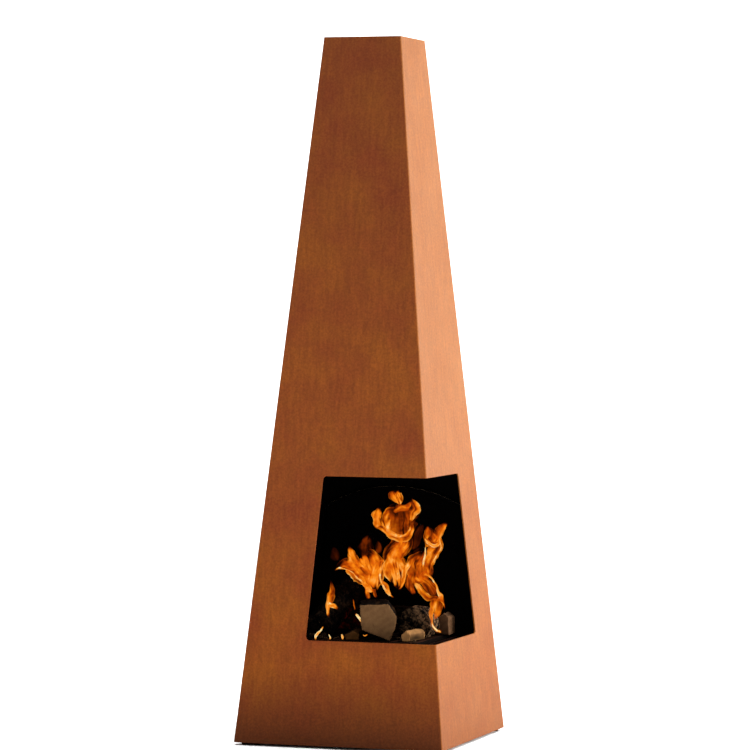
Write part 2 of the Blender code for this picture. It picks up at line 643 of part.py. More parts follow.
def lifting_tab(where, turn, steel, carrier):
    """A flat tab welded inside the rim at a cut corner, with a slot over the rim for a hook."""
    face = tray_halves()[1] - TRAY_SHEET - GAP
    back = face - TAB_SHEET
    foot = TRAY_FLOOR + GAP
    slot_foot = TRAY_RIM + TAB_SLOT_RISE
    top = slot_foot + TAB_SLOT_HEIGHT + TAB_EDGE
    side = TAB_WIDTH / 2
    outline = [((-side, foot), 0), ((side, foot), 0), ((side, top), TAB_CORNER), ((-side, top), TAB_CORNER)]
    bm = slab(filleted(outline, FOLD_SEGMENTS), back, face)
    bm.transform(UPRIGHT)
    frame = Matrix.Rotation(turn, 4, "Z")
    tab = add_object("tray_tab_" + where, bm, steel, frame, carrier)
    end = TAB_SLOT_HEIGHT / 2
    straight = TAB_SLOT_WIDTH / 2 - end
    hole = rod(TAB_SLOT_HEIGHT, back - OVERRUN, face + OVERRUN)
    hole.transform(Matrix.Rotation(math.pi / HOLE_SEGMENTS, 4, "Z"))
    bmesh.ops.translate(hole, verts=[vert for vert in hole.verts if vert.co.x > 0], vec=(straight, 0, 0))
    bmesh.ops.translate(hole, verts=[vert for vert in hole.verts if vert.co.x < 0], vec=(-straight, 0, 0))
    bmesh.ops.translate(hole, verts=hole.verts, vec=(0, slot_foot + end, 0))
    hole.transform(UPRIGHT)
    combine(tab, add_object("cut_tab_" + where, hole, steel, frame, carrier))


def grate(iron, carrier):
    """A cast grate: a frame of the tray's shape, straight bars, a cross rib and four short feet."""
    half, half_across = grate_halves()
    low = GRATE_BOTTOM + GRATE_FOOT_HEIGHT
    casting = add_object("grate", slab(cut_square(half, half_across), low, GRATE_TOP), iron, parent=carrier)
    inner = half - GRATE_FRAME
    inner_cut = (half_across - GRATE_FRAME) * math.sqrt(2)
    pitch = GRATE_BAR + GRATE_SLOT
    columns = int((inner - GRATE_SLOT / 2) / pitch)
    slots = []
    for column in range(-columns, columns + 1):
        left = column * pitch - GRATE_SLOT / 2
        right = left + GRATE_SLOT
        far = min(inner, inner_cut - right)
        near = max(-inner, -inner_cut - left)
        for start, end in ((near, -GRATE_RIB / 2), (GRATE_RIB / 2, far)):
            if end - start > GRATE_SLOT:
                outline = [(left, start), (right, start), (right, end), (left, end)]
                slots.append((slab(outline, low - OVERRUN, GRATE_TOP + OVERRUN), Matrix.Identity(4)))
    combine(casting, add_object("cut_grate_slots", joined(slots), iron))
    # The feet under the square corners stand further in, so that they pass over the tray's rim
    lugs = []
    for turn in range(4):
        reach = inner * math.sqrt(2) if turn % 2 else half_across - GRATE_FRAME / 2
        place = Matrix.Rotation(math.pi / 4 + turn * math.pi / 2, 4, "Z") @ Matrix.Translation((reach, 0, 0))
        lugs.append((rod(GRATE_FOOT_DIAMETER, GRATE_BOTTOM, low + GRATE_THICKNESS / 2), place))
    combine(casting, add_object("add_grate_feet", joined(lugs), iron), "UNION")


def log_place(log):
    """The middle of a log's near end in plan."""
    half = grate_halves()[0]
    return [share * half for share in log["place_shares"]]


def log_size(log):
    """A log's width, length and height."""
    half = grate_halves()[0]
    return [share * half for share in log["size_shares"]]


def split_log(name, log, shares, wood, carrier, tilt=0.0):
    """A split log with its underside on the grate, drawn on from its near end's outline."""
    width, length, height = log_size(log)
    bm = bmesh.new()
    first = [bm.verts.new((x * width, 0, z * height)) for x, z in shares]
    bm.faces.new(first)
    ring = first
    for along_share, size_share in LOG_RING_SHARES[1:]:
        edges = [edge for edge in bm.edges if edge.verts[0] in ring and edge.verts[1] in ring]
        drawn = bmesh.ops.extrude_edge_only(bm, edges=edges)["geom"]
        ring = [item for item in drawn if isinstance(item, bmesh.types.BMVert)]
        for vert, (x, z) in zip(ring, shares):
            vert.co = (x * width * size_share, along_share * length, z * height * size_share)
    bmesh.ops.contextual_create(bm, geom=ring)
    place = Matrix.Translation((*log_place(log), LOG_BED))
    turned_place = place @ Matrix.Rotation(math.radians(log["turn"]), 4, "Z") @ Matrix.Rotation(tilt, 4, "X")
    return add_object(name, bm, wood, turned_place, carrier)


def fire(pale_wood, charred_wood, carrier):
    """The logs on the grate. The leaning log rests on the grate and on the back log's upper edge."""
    split_log("log_pale", PALE_LOG, PALE_END_SHARES, pale_wood, carrier)
    split_log("log_charred", CHARRED_LOG, CHARRED_END_SHARES, charred_wood, carrier)
    split_log("log_back", BACK_LOG, BACK_END_SHARES, charred_wood, carrier)
    edge_share = min(x for x, z in BACK_END_SHARES if z == 1.0)
    back_width, _, back_height = log_size(BACK_LOG)
    run = log_place(BACK_LOG)[1] + edge_share * back_width - log_place(LEANING_LOG)[1]
    tilt = math.atan2(back_height + GAP, run)
    split_log("log_leaning", LEANING_LOG, LEANING_END_SHARES, charred_wood, carrier, tilt)
    split_log("stick_left", LEFT_STICK, STICK_END_SHARES, charred_wood, carrier)
    split_log("stick_right", RIGHT_STICK, STICK_END_SHARES, pale_wood, carrier)
    split_log("log_small", SMALL_LOG, SMALL_END_SHARES, pale_wood, carrier)


def main():
    for item in list(bpy.data.objects):
        bpy.data.objects.remove(item)
    weathering_steel = material("weathering_steel", (0.30, 0.11, 0.045), 0.75, 0.2)
    black_steel = material("heat_resistant_black", (0.02, 0.02, 0.022), 0.7, 0.3)
    cast_iron = material("cast_iron", (0.03, 0.03, 0.032), 0.65, 0.6)
    zinc_steel = material("zinc_plated_steel", (0.42, 0.41, 0.38), 0.4, 0.9)
    pale_wood = material("sawn_wood", (0.62, 0.44, 0.26), 0.8)
    charred_wood = material("charred_wood", (0.05, 0.04, 0.035), 0.9)

    front_sheet(weathering_steel)
    rear_sheet(weathering_steel)
    seam_fasteners(LEFT, "left", zinc_steel)
    seam_fasteners(REAR, "rear", zinc_steel)
    base_ring(weathering_steel)
    feet(black_steel, zinc_steel)
    hearth(weathering_steel, black_steel)
    fireback(LEFT, "left", cast_iron, zinc_steel)
    fireback(REAR, "rear", cast_iron, zinc_steel)
    tray_carrier = add_axis("ash_tray_carrier", (0, 0, TRAY_BOTTOM))
    ash_tray(black_steel, tray_carrier)
    grate_carrier = add_axis("grate_carrier", (0, 0, GRATE_BOTTOM), tray_carrier)
    grate(cast_iron, grate_carrier)
    fire(pale_wood, charred_wood, grate_carrier)


main()
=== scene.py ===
"""Looks of an outdoor fireplace: rusted casing, burning logs, studio stage and camera.

The solid model gives every size and place. This script gives the surfaces, the worked shape of the wood and
the cast iron, the charcoal, ash and flames, and the stage. Metres, +Z up, show faces along -Y and +X.
"""

import math
import random
from functools import partial

import bmesh
import bpy
from bpy.props import FloatProperty, FloatVectorProperty, IntProperty, PointerProperty
from mathutils import Matrix, Vector, noise


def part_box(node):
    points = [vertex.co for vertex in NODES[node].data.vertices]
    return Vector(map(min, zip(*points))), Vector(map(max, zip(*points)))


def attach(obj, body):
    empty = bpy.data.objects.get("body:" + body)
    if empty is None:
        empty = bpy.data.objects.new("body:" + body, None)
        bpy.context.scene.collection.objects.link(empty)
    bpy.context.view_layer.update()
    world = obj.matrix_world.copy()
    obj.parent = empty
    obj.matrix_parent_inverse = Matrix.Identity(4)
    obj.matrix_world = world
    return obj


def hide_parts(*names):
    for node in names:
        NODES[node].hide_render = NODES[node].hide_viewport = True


bl_info = {
    "name": "Outdoor Fireplace Looks",
    "version": (1, 0, 0),
    "blender": (4, 5, 0),
    "location": "3D View > Sidebar > Fireplace",
    "description": "Surfaces, logs, charcoal, flames and a studio stage for a folded steel fireplace",
    "category": "Object",
}

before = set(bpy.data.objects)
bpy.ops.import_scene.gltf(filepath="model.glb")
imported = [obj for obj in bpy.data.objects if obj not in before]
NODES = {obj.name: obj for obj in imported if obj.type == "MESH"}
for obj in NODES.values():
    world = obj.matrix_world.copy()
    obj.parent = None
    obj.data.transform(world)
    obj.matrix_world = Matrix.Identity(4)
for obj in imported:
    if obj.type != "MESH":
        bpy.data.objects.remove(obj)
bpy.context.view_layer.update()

MM = 0.001

# The casing's taper, read from its front sheet
SHELL_LOW, SHELL_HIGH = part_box("front_shell")
TOP_HALF = max(v.co.x for v in NODES["front_shell"].data.vertices if v.co.z > SHELL_HIGH.z - MM)
TAPER = (SHELL_HIGH.x - TOP_HALF) / (SHELL_HIGH.z - SHELL_LOW.z)
GRATE_LOW, GRATE_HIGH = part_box("grate")
HEARTH_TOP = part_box("hearth_plate")[1].z

# Each log's turn about Z in degrees: its length runs along its own Y
LOG_TURNS = {
    "log_pale": 18.0, "log_charred": 3.0, "log_back": 90.0, "log_leaning": 0.0, "log_small": 2.0,
    "stick_left": 12.0, "stick_right": -8.0,
}

# Each split log's face and ring colours, how much of it is charred, and how far its sides are scorched
SPLIT_LOGS = (
    ("log_pale", "#6E4F33", "#5E442B", 0.0, 1.05),
    ("log_small", "#644731", "#4E3725", 0.1, 0.3),
    ("stick_right", "#B5834F", "#8A6240", 0.05, 0.7),
    ("stick_left", "#5C3A1C", "#402812", 0.15, 0.8),
)

# Each burnt log's share of ash on its skin, and the strength of its red heat
BURNT_LOGS = (("log_charred", 1.0, 0.0), ("log_back", 0.3, 0.12), ("log_leaning", 0.15, 0.16))
CHARCOAL_ASH, CHARCOAL_HEAT = 0.6, 0.25

# Points nearer than WELD are joined, faces within FLAT of each other become one, and edges over SHARP are
# eased
WELD = 0.01 * MM
FLAT = math.radians(1)
SHARP = math.radians(40)

# Before a log is carved, it is drawn again in even faces of this size and smoothed this many times
VOXEL = 1.6 * MM
SMOOTHINGS = 4

# Across, along and up a split log: the size of a fibre, of a step between splinters and of a scorch
FIBRE = (7 * MM, 90 * MM, 7 * MM)
SPLINTER = (22 * MM, 160 * MM, 22 * MM)
SCORCH = (13 * MM, 70 * MM, 13 * MM)

# A split log's year rings run round HEART, away from its middle. On its sawn end, which are the faces turned
# at least this squarely along the log, the cracks run from a place across and up from the middle
HEART = Vector((0.05, 0, -0.06))
END_FACING = 0.8
CRACKS_FROM = (0.02, -0.03)

# Charcoal: its smallest and largest lump in millimetres, the random draw, the tries to lay one lump, a height
# over the logs to look down from, and the gap between the grate and what lies on it
LUMP_MM = (7, 19)
LUMP_SEED = 7
TRIES_A_LUMP = 40
OVER_LOGS = 0.45
LUMP_GAP = 0.3 * MM

# The drift of ash on the tray's floor, with its underside just over the level of the grate's feet
ASH_BASE = GRATE_LOW.z + 0.2 * MM
ASH_REACH = 0.132
ASH_HEIGHT = 5.2 * MM

# Blender's noise vectors start from the clock where no seed is set
NOISE_SEED = 11

# The middle of the red embers, and how far from it the last of them lies
EMBERS = Vector((-0.082, 0.028, GRATE_HIGH.z))
EMBERS_REACH = 0.062

# How far inside the casing's outer plane each sheet's sooted face begins. The rear sheet lies inside the
# front one. The frame under the hearth has no soot, so its value reaches past the middle of the casing
FRONT_SOOT = 2.6 * MM
REAR_SOOT = 5.6 * MM
NO_SOOT = 1.0

# Painted shade: the steel is darker at the foot, up to the first height, and a little from the second to the
# top
FOOT_SHADE = 0.17
CROWN_SHADE = 0.8
CROWN_SHARE = 0.33
# The share of that painted shade kept on the right face, where the light falls
LIT_FACE_SHADE_SHARE = 0.26

# The camera stands where the photograph was taken, a little over half of the fireplace's height
EYE = Vector((2.5249, -7.6403, 0.9861))
AIM = Vector((0.0038, 0.0013, 0.7799))
ROLL = math.radians(0.289)
VIEW = (AIM - EYE).to_track_quat("-Z", "Y").to_matrix() @ Matrix.Rotation(ROLL, 3, "Z")
SENSOR_MM = 36
FARTHEST_SEEN = 100

# The stage's side view: a floor from front to back, a bend and an upright backdrop
STAGE_FRONT, STAGE_BACK, STAGE_TOP, STAGE_HALF = -12.0, 10.0, 7.0, 13.0
BEND_RADIUS = 2.0
BEND_STEPS = 12

# Each soft box light: its place, the spot that it faces, and its width and height
LIGHTS = {
    "wash": ((-1.0, 7.0, 5.5), (-1.0, STAGE_BACK, 1.6), (12.0, 1.5)),
    "overhead": ((0.3, 0.6, 4.2), (0, 0.2, 0), (4.0, 4.0)),
    "side": ((3.6, 1.3, 1.1), (0, 0.1, 0.8), (2.0, 3.2)),
    "behind": ((2.6, 4.1, 1.3), (0.1, 0, 0.8), (2.4, 2.4)),
    "front": ((-1.6, -4.0, 2.4), (0, 0, 0.6), (2.0, 2.0)),
}


def linear(text):
    """A colour written as sRGB hex, as the linear values that Blender works in."""
    values = [int(text[i:i + 2], 16) / 255 for i in (1, 3, 5)]
    return (*(v / 12.92 if v <= 0.04045 else ((v + 0.055) / 1.055) ** 2.4 for v in values), 1.0)


def colour(name, description, text):
    """A colour on the panel, given as sRGB hex."""
    return FloatVectorProperty(
        name=name, description=description, default=linear(text), size=4, min=0, max=1, subtype="COLOR")


def length(name, description, metres):
    """A length on the panel."""
    return FloatProperty(name=name, description=description, default=metres, min=0, unit="LENGTH")


def power(name, description, watts):
    """A light's power on the panel."""
    return FloatProperty(name=name, description=description, default=watts, min=0, unit="POWER")


class SteelLook(bpy.types.PropertyGroup):
    """Rust and soot on the sheet steel."""

    rust: colour("Rust", "The even brown of settled rust", "#7D3D13")
    rust_dark: colour("Dark rust", "The redder patches", "#783614")
    rust_pale: colour("Pale rust", "The more orange patches", "#824311")
    # Painted light: the right face, where the light falls, is painted in this yellower, more even rust
    lit_rust: colour("Dry rust", "The yellower, even rust of the right face, which dries first", "#814D15")
    # Painted shade: this dark rust is painted at the foot, at the top and inside under the hearth
    shade_rust: colour("Wet rust", "The foot and the crown, which stay wet longest", "#46200B")
    soot: colour("Soot", "The inside above the hearth", "#060505")
    mottle: length("Mottle", "Width of a darker or paler patch", 0.11)
    streak: length("Streak", "Width of a run down the sheet", 0.006)
    grain: length("Grain", "Size of the rust's grains, drawn coarse enough to show", 0.004)


class HearthLook(bpy.types.PropertyGroup):
    """Paint, cast iron, zinc and ash."""

    paint: colour("Paint", "Heat-resistant black, browned by the fire", "#120806")
    paint_dust: colour("Dust on paint", "Rust dust on the hearth plate and tray", "#3A1E12")
    paint_grit: length("Paint grit", "Size of the paint's specks", 0.0012)
    iron: colour("Cast iron", "The grate's dull casting skin", "#120B08")
    iron_dust: colour("Dust on iron", "Ash trodden into the grate's top", "#382015")
    iron_grit: length("Casting grit", "Size of the sand's marks", 0.0016)
    # Partly ash and partly a painted highlight: the firebacks' up-facing top edges are painted pale where
    # light catches them
    shield: colour("Sooted iron", "The firebacks' face", "#050404")
    shield_ash_and_highlight: colour("Ash on the firebacks", "Ash along their upper edges", "#86745F")
    zinc: colour("Zinc", "Bright plate", "#A8A48F")
    zinc_dull: colour("Dull zinc", "Weathered spots in the plate", "#6E6757")
    zinc_spot: length("Zinc spot", "Width of a dull spot", 0.0025)
    fleck: length("Fleck", "Size of a fleck of char in the ash", 0.003)
    grate_edge: length("Grate edge", "Rounding of the grate's edges", 0.0012)
    shield_edge: length("Fireback edge", "Rounding of the firebacks' edges", 0.0022)


class WoodLook(bpy.types.PropertyGroup):
    """Split, sawn and burnt wood."""

    char: colour("Char", "Burnt wood", "#0D0B0A")
    ash: colour("Ash", "The grey-brown skin that a burnt edge leaves", "#7A5B40")
    glow: colour("Glow", "Red heat low in the fire", "#C8260A")
    ring_width: length("Ring width", "One year ring, drawn coarse enough to show", 0.0042)
    fibre: length("Fibre", "Width of a fibre on a split side, drawn coarse enough to show", 0.0016)
    scuff: length("Scuff", "Width of a duller patch on a sawn end", 0.014)
    burn: length("Burn", "Width of a charred patch on split wood", 0.026)
    skin: length("Skin", "Width of an ashen patch on burnt wood", 0.018)
    flake: length("Flake", "Size of a flake of char", 0.0024)
    crack_dark: colour("Crack", "The bottom of a crack in the char", "#070707")
    crack: length("Crack spacing", "Size of a block between two cracks in the char", 0.015)
    crack_depth: length("Crack depth", "How deep the cracks in the char go", 0.0024)
    lumps: IntProperty(name="Lumps", description="Pieces of charcoal on the grate", default=90, min=0)


class FireLook(bpy.types.PropertyGroup):
    """Flames."""

    wisp: colour("Wisp", "The thinnest gas, nearly out", "#6A2405")
    body: colour("Body", "The thin middle of a flame", "#D85005")
    fold: colour("Fold", "Where a flame folds over itself", "#FF8A12")
    rim: colour("Rim", "The bright edge of a flame", "#FFAF4E")
    core: colour("Core", "The hottest spots", "#FFE6A6")
    rim_width: length("Rim width", "How far in from its edge a flame is bright", 0.0028)
    streak: length("Streak", "Width of a streak along a flame", 0.010)
    billow: length("Billow", "Width of a thicker or thinner patch of flame", 0.024)
    flicker: length("Flicker", "Length of a brighter or dimmer bit of a rim", 0.015)
    strength: FloatProperty(name="Strength", description="Brightness of the flames", default=1.0, min=0)


class StageLook(bpy.types.PropertyGroup):
    """Floor, lights and camera."""

    floor: colour("Floor", "Pale studio floor and backdrop", "#F4F4F4")
    floor_pale: colour("Pale patches", "Faint paler patches in the board", "#F8F8F8")
    floor_patch: length("Patch", "Width of a faint patch in the board", 0.8333)
    overhead: power("Overhead", "Soft light over the stage", 420.0)
    side: power("Side", "Soft light on the right face", 303.0)
    behind: power("Behind", "Sheen on the right face", 55.0)
    front: power("Front", "Weak light on the front face", 38.5)
    wash: power("Wash", "Light on the backdrop alone", 900.0)
    world: FloatProperty(name="Fill", description="Even light from all round", default=0.3, min=0)
    lens: FloatProperty(name="Lens", description="Focal length", default=179.95, unit="CAMERA")


def feed(item, inputs):
    """Sets a node's inputs, each to a value or by a link from another node's output."""
    for key, value in inputs.items():
        if isinstance(value, bpy.types.NodeSocket):
            item.id_data.links.new(value, item.inputs[key])
        else:
            item.inputs[key].default_value = value


def add_node(tree, kind, inputs=None, stops=None, out=0, **settings):
    """Adds a shader node with its settings, inputs and ramp's stops, and gives one or all of its outputs."""
    made = tree.nodes.new("ShaderNode" + kind)
    for name, value in settings.items():
        setattr(made, name, value)
    feed(made, inputs or {})
    if stops:
        ramp = made.color_ramp
        while len(ramp.elements) < len(stops):
            ramp.elements.new(1.0)
        for element, (place, shade) in zip(ramp.elements, stops):
            element.position = place
            element.color = shade if hasattr(shade, "__len__") else (shade, shade, shade, 1.0)
    return made.outputs if out is None else made.outputs[out]


def new_material(name):
    """A Principled material: the material, what adds a node to it, its shader and its Object coordinates."""
    made = bpy.data.materials.new(name)
    made.use_nodes = True
    add = partial(add_node, made.node_tree)
    return made, add, made.node_tree.nodes["Principled BSDF"], add("TexCoord", out="Object")


def dress(name, material):
    """Gives a node of the solid model its finish."""
    mesh = NODES[name].data
    mesh.materials.clear()
    mesh.materials.append(material)


def outside_share(add, x, y, z, depth):
    """One outside the casing's outer plane moved in by depth, and nothing inside it."""
    across = add("Math", {0: x}, operation="ABSOLUTE")
    along = add("Math", {0: y}, operation="ABSOLUTE")
    far = add("Math", {0: across, 1: along}, operation="MAXIMUM")
    leaned = add("Math", {0: z, 1: TAPER, 2: far}, operation="MULTIPLY_ADD")
    edge = SHELL_HIGH.x + SHELL_LOW.z * TAPER - depth
    return add("Math", {0: leaned, 1: edge}, operation="GREATER_THAN")


def weathering_steel(name, look, depth):
    """Weathering steel, folded and left to rust: matt brown with soft patches and faint runs, sooted inside.

    depth is how far inside the casing's outer plane the sooted face begins.
    """
    made, add, shader, place = new_material(name)
    x, y, z = add("SeparateXYZ", {0: place}, out=None)
    outside = outside_share(add, x, y, z, depth)
    runs = add("Mapping", {0: place, 3: (1, 1, 0.04)})
    mottle = add("TexNoise", {"Vector": place, "Scale": 1 / look.mottle, "Detail": 4, "Roughness": 0.55})
    streak = add("TexNoise", {"Vector": runs, "Scale": 1 / look.streak, "Detail": 3})
    grain = add("TexNoise", {"Vector": place, "Scale": 1 / look.grain, "Detail": 2})
    patches = add(
        "ValToRGB", {0: mottle},
        [(0.34, look.rust_dark), (0.5, look.rust), (0.66, look.rust_pale)])
    run = add("ValToRGB", {0: streak}, [(0.3, 0.86), (0.7, 1.10)])
    # Painted shade: darker towards the foot and towards the top, less so on the lit right face
    foot = add("MapRange", {0: z, 1: 0.0, 2: FOOT_SHADE, 3: 1.0, 4: 0.0})
    crown = add("MapRange", {0: z, 1: CROWN_SHADE, 2: SHELL_HIGH.z, 3: 0.0, 4: CROWN_SHARE})
    painted_shade = add("Math", {0: foot, 1: crown}, operation="ADD")
    # Painted light: the right face, where the light falls, is painted yellower and more even, more so up high
    along = add("Math", {0: y}, operation="ABSOLUTE")
    lit_face = add("Math", {0: x, 1: along}, operation="GREATER_THAN")
    shade_on_face = add("MapRange", {0: lit_face, 3: 1.0, 4: LIT_FACE_SHADE_SHARE})
    shade_share = add("Math", {0: painted_shade, 1: shade_on_face}, operation="MULTIPLY")
    height_share = add("MapRange", {0: z, 1: 0.1, 2: 0.8, 3: 0.42, 4: 0.7})
    lit_share = add("Math", {0: lit_face, 1: height_share}, operation="MULTIPLY")
    lit_tinted = add("Mix", {0: lit_share, 6: patches, 7: look.lit_rust}, data_type="RGBA", out=2)
    ran = add("Mix", {0: 1.0, 6: lit_tinted, 7: run}, data_type="RGBA", blend_type="MULTIPLY", out=2)
    footed = add("Mix", {0: shade_share, 6: ran, 7: look.shade_rust}, data_type="RGBA", out=2)
    speck = add("ValToRGB", {0: grain}, [(0.35, 0.84), (0.65, 1.12)])
    rusted = add("Mix", {0: 1.0, 6: footed, 7: speck}, data_type="RGBA", blend_type="MULTIPLY", out=2)
    # Above the hearth the inside is soot, and under it the rust is painted dark as shade
    above = add("Math", {0: z, 1: HEARTH_TOP}, operation="GREATER_THAN")
    inner = add("Mix", {0: above, 6: look.shade_rust, 7: look.soot}, data_type="RGBA", out=2)
    base = add("Mix", {0: outside, 6: inner, 7: rusted}, data_type="RGBA", out=2)
    worn = add("MapRange", {0: mottle, 1: 0.3, 2: 0.7, 3: 0.62, 4: 0.57})
    rough = add("Mix", {0: outside, 2: 1.0, 3: worn})
    sheen = add("MapRange", {0: z, 1: 0.0, 2: 0.6, 3: 0.26, 4: 0.5})
    shine = add("Mix", {0: outside, 2: 0.04, 3: sheen})
    height = add("Math", {0: streak, 1: grain}, operation="ADD")
    bump = add("Bump", {"Strength": 0.2, "Distance": 0.3 * MM, "Height": height})
    feed(shader, {
        "IOR": 1.22, "Base Color": base, "Roughness": rough, "Specular IOR Level": shine, "Normal": bump})
    return made


def dusted_iron(name, black, dust, grit, dust_share, roughness):
    """Black iron or painted steel, dull with heat, with ash on what faces up, on a fireback partly a painted
    highlight.
    """
    made, add, shader, place = new_material(name)
    normal = add("NewGeometry", out="Normal")
    up = add("SeparateXYZ", {0: normal}, out=2)
    fine = add("TexNoise", {"Vector": place, "Scale": 1 / grit, "Detail": 4})
    cloud = add("TexNoise", {"Vector": place, "Scale": 1 / (12 * grit), "Detail": 3})
    lies = add("Math", {0: up, 1: cloud}, operation="MULTIPLY")
    share = add("MapRange", {0: lies, 1: 0.2, 2: 0.6, 3: 0.0, 4: dust_share})
    dark = tuple(0.6 * v for v in black[:3]) + (1,)
    shade = add("ValToRGB", {0: fine}, [(0.3, dark), (0.7, black)])
    base = add("Mix", {0: share, 6: shade, 7: dust}, data_type="RGBA", out=2)
    rough = add("MapRange", {0: fine, 3: roughness - 0.08, 4: roughness + 0.08})
    bump = add("Bump", {"Strength": 0.4, "Distance": 0.3 * MM, "Height": fine})
    feed(shader, {"Base Color": base, "Roughness": rough, "Specular IOR Level": 0.01, "Normal": bump})
    return made


def zinc_plate(name, look, soot):
    """Zinc-plated steel, barrel plated: satin, faintly yellow grey with dull spots, sooted by the fire."""
    made, add, shader, place = new_material(name)
    x, y, z = add("SeparateXYZ", {0: place}, out=None)
    inside = add("Math", {0: 1.0, 1: outside_share(add, x, y, z, MM)}, operation="SUBTRACT")
    above = add("Math", {0: z, 1: HEARTH_TOP}, operation="GREATER_THAN")
    burnt = add("Math", {0: inside, 1: above}, operation="MULTIPLY")
    spots = add("TexNoise", {"Vector": place, "Scale": 1 / look.zinc_spot, "Detail": 4})
    plate = add("ValToRGB", {0: spots}, [(0.35, look.zinc_dull), (0.6, look.zinc)])
    base = add("Mix", {0: burnt, 6: plate, 7: soot}, data_type="RGBA", out=2)
    worn = add("MapRange", {0: spots, 3: 0.6, 4: 0.3})
    rough = add("Mix", {0: burnt, 2: worn, 3: 1.0})
    metal = add("Mix", {0: burnt, 2: 0.9, 3: 0.0})
    shine = add("Mix", {0: burnt, 2: 0.5, 3: 0.02})
    feed(shader, {"Base Color": base, "Roughness": rough, "Metallic": metal, "Specular IOR Level": shine})
    return made


def log_place(name):
    """The middle of a log's box and its turn, which together are the log's own frame."""
    low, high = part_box(name)
    return (low + high) / 2, math.radians(LOG_TURNS[name])


def sawn_wood(name, log, look, face_text, ring_text, charred):
    """Split firewood, sawn across: faint year rings on the end, fibres along the sides, scorched patches."""
    made, add, shader, place = new_material(name)
    middle, turn = log_place(log)
    own = add("Mapping", {0: place, 1: middle + HEART, 2: (0, 0, turn)}, vector_type="TEXTURE")
    rings = add(
        "TexWave", {"Vector": own, "Scale": 0.1 / look.ring_width, "Distortion": 2.2, "Detail": 3},
        wave_type="RINGS", rings_direction="Y", wave_profile="SIN", out=1)
    fibre_place = add("Mapping", {0: own, 3: (1, 0.06, 1)})
    fibres = add("TexNoise", {"Vector": fibre_place, "Scale": 1 / look.fibre, "Detail": 4})
    scuffs = add("TexNoise", {"Vector": own, "Scale": 1 / look.scuff, "Detail": 6, "Roughness": 0.7})
    burnt = add("TexNoise", {"Vector": own, "Scale": 1 / look.burn, "Detail": 5, "Roughness": 0.65})
    ring_share = add("MapRange", {0: rings, 3: 0.0, 4: 0.45})
    ringed = add(
        "Mix", {0: ring_share, 6: linear(face_text), 7: linear(ring_text)}, data_type="RGBA", out=2)
    scuff = add("ValToRGB", {0: scuffs}, [(0.34, 0.74), (0.62, 1.08)])
    scuffed = add(
        "Mix", {0: 1.0, 6: ringed, 7: scuff}, data_type="RGBA", blend_type="MULTIPLY", out=2)
    fibre_share = add("MapRange", {0: fibres, 1: 0.35, 2: 0.7, 3: 0.0, 4: 0.5})
    streaked = add("Mix", {0: fibre_share, 6: scuffed, 7: linear(ring_text)}, data_type="RGBA", out=2)
    share = add(
        "ValToRGB", {0: burnt}, [(0.66 - 0.5 * charred, 0.0), (0.8 - 0.4 * charred, 1.0)])
    edge = add("Attribute", attribute_name="scorch", out="Fac")
    groove = add("Attribute", attribute_name="groove", out="Fac")
    marked = add("Math", {0: edge, 1: groove}, operation="MAXIMUM")
    deep = add("Math", {0: share, 1: marked}, operation="MAXIMUM")
    base = add("Mix", {0: deep, 6: streaked, 7: look.char}, data_type="RGBA", out=2)
    bump = add("Bump", {"Strength": 0.5, "Distance": 0.4 * MM, "Height": fibres})
    feed(shader, {"Base Color": base, "Roughness": 0.95, "Specular IOR Level": 0.0, "Normal": bump})
    return made


def charred_wood(name, middle, turn, look, ashen_share, heat):
    """Burnt wood: black blocks between cracks, grey-brown ash on the edges, dull red heat low in the fire."""
    made, add, shader, place = new_material(name)
    own = add("Mapping", {0: place, 1: middle, 2: (0, 0, turn)}, vector_type="TEXTURE")
    patch = add("TexNoise", {"Vector": own, "Scale": 1 / look.skin, "Detail": 6, "Roughness": 0.7})
    fine = add("TexNoise", {"Vector": own, "Scale": 1 / look.flake, "Detail": 4})
    groove = add("Attribute", attribute_name="groove", out="Fac")
    ashen = add("ValToRGB", {0: patch}, [(0.44, 0.0), (0.6, ashen_share)])
    flaked = add("MapRange", {0: fine, 1: 0.3, 2: 0.6, 3: 0.25, 4: 1.0})
    grey = add("Math", {0: ashen, 1: flaked}, operation="MULTIPLY")
    skin = add("Mix", {0: grey, 6: look.char, 7: look.ash}, data_type="RGBA", out=2)
    dark = add("Mix", {0: groove, 6: skin, 7: look.crack_dark}, data_type="RGBA", out=2)
    away = add("VectorMath", {0: place, 1: EMBERS}, operation="DISTANCE", out="Value")
    near_fire = add("MapRange", {0: away, 1: 0.3 * EMBERS_REACH, 2: EMBERS_REACH, 3: heat, 4: 0.0})
    live = add("ValToRGB", {0: patch}, [(0.36, 1.0), (0.5, 0.0)])
    hot = add("Math", {0: near_fire, 1: live}, operation="MULTIPLY")
    bump = add("Bump", {"Strength": 0.6, "Distance": 0.5 * MM, "Height": fine})
    feed(shader, {
        "Base Color": dark, "Roughness": 0.95, "Specular IOR Level": 0.0, "Emission Color": look.glow,
        "Emission Strength": hot, "Normal": bump})
    return made


def wood_ash(name, look):
    """Wood ash, a fine pale grey powder with darker flecks of unburnt char."""
    made, add, shader, place = new_material(name)
    flecks = add("TexNoise", {"Vector": place, "Scale": 1 / look.fleck, "Detail": 6, "Roughness": 0.75})
    base = add(
        "ValToRGB", {0: flecks},
        [(0.36, linear("#1C1917")), (0.5, linear("#4E4942")), (0.7, linear("#746E65"))])
    bump = add("Bump", {"Strength": 0.5, "Distance": 0.4 * MM, "Height": flecks})
    feed(shader, {"Base Color": base, "Roughness": 1.0, "Specular IOR Level": 0.1, "Normal": bump})
    return made


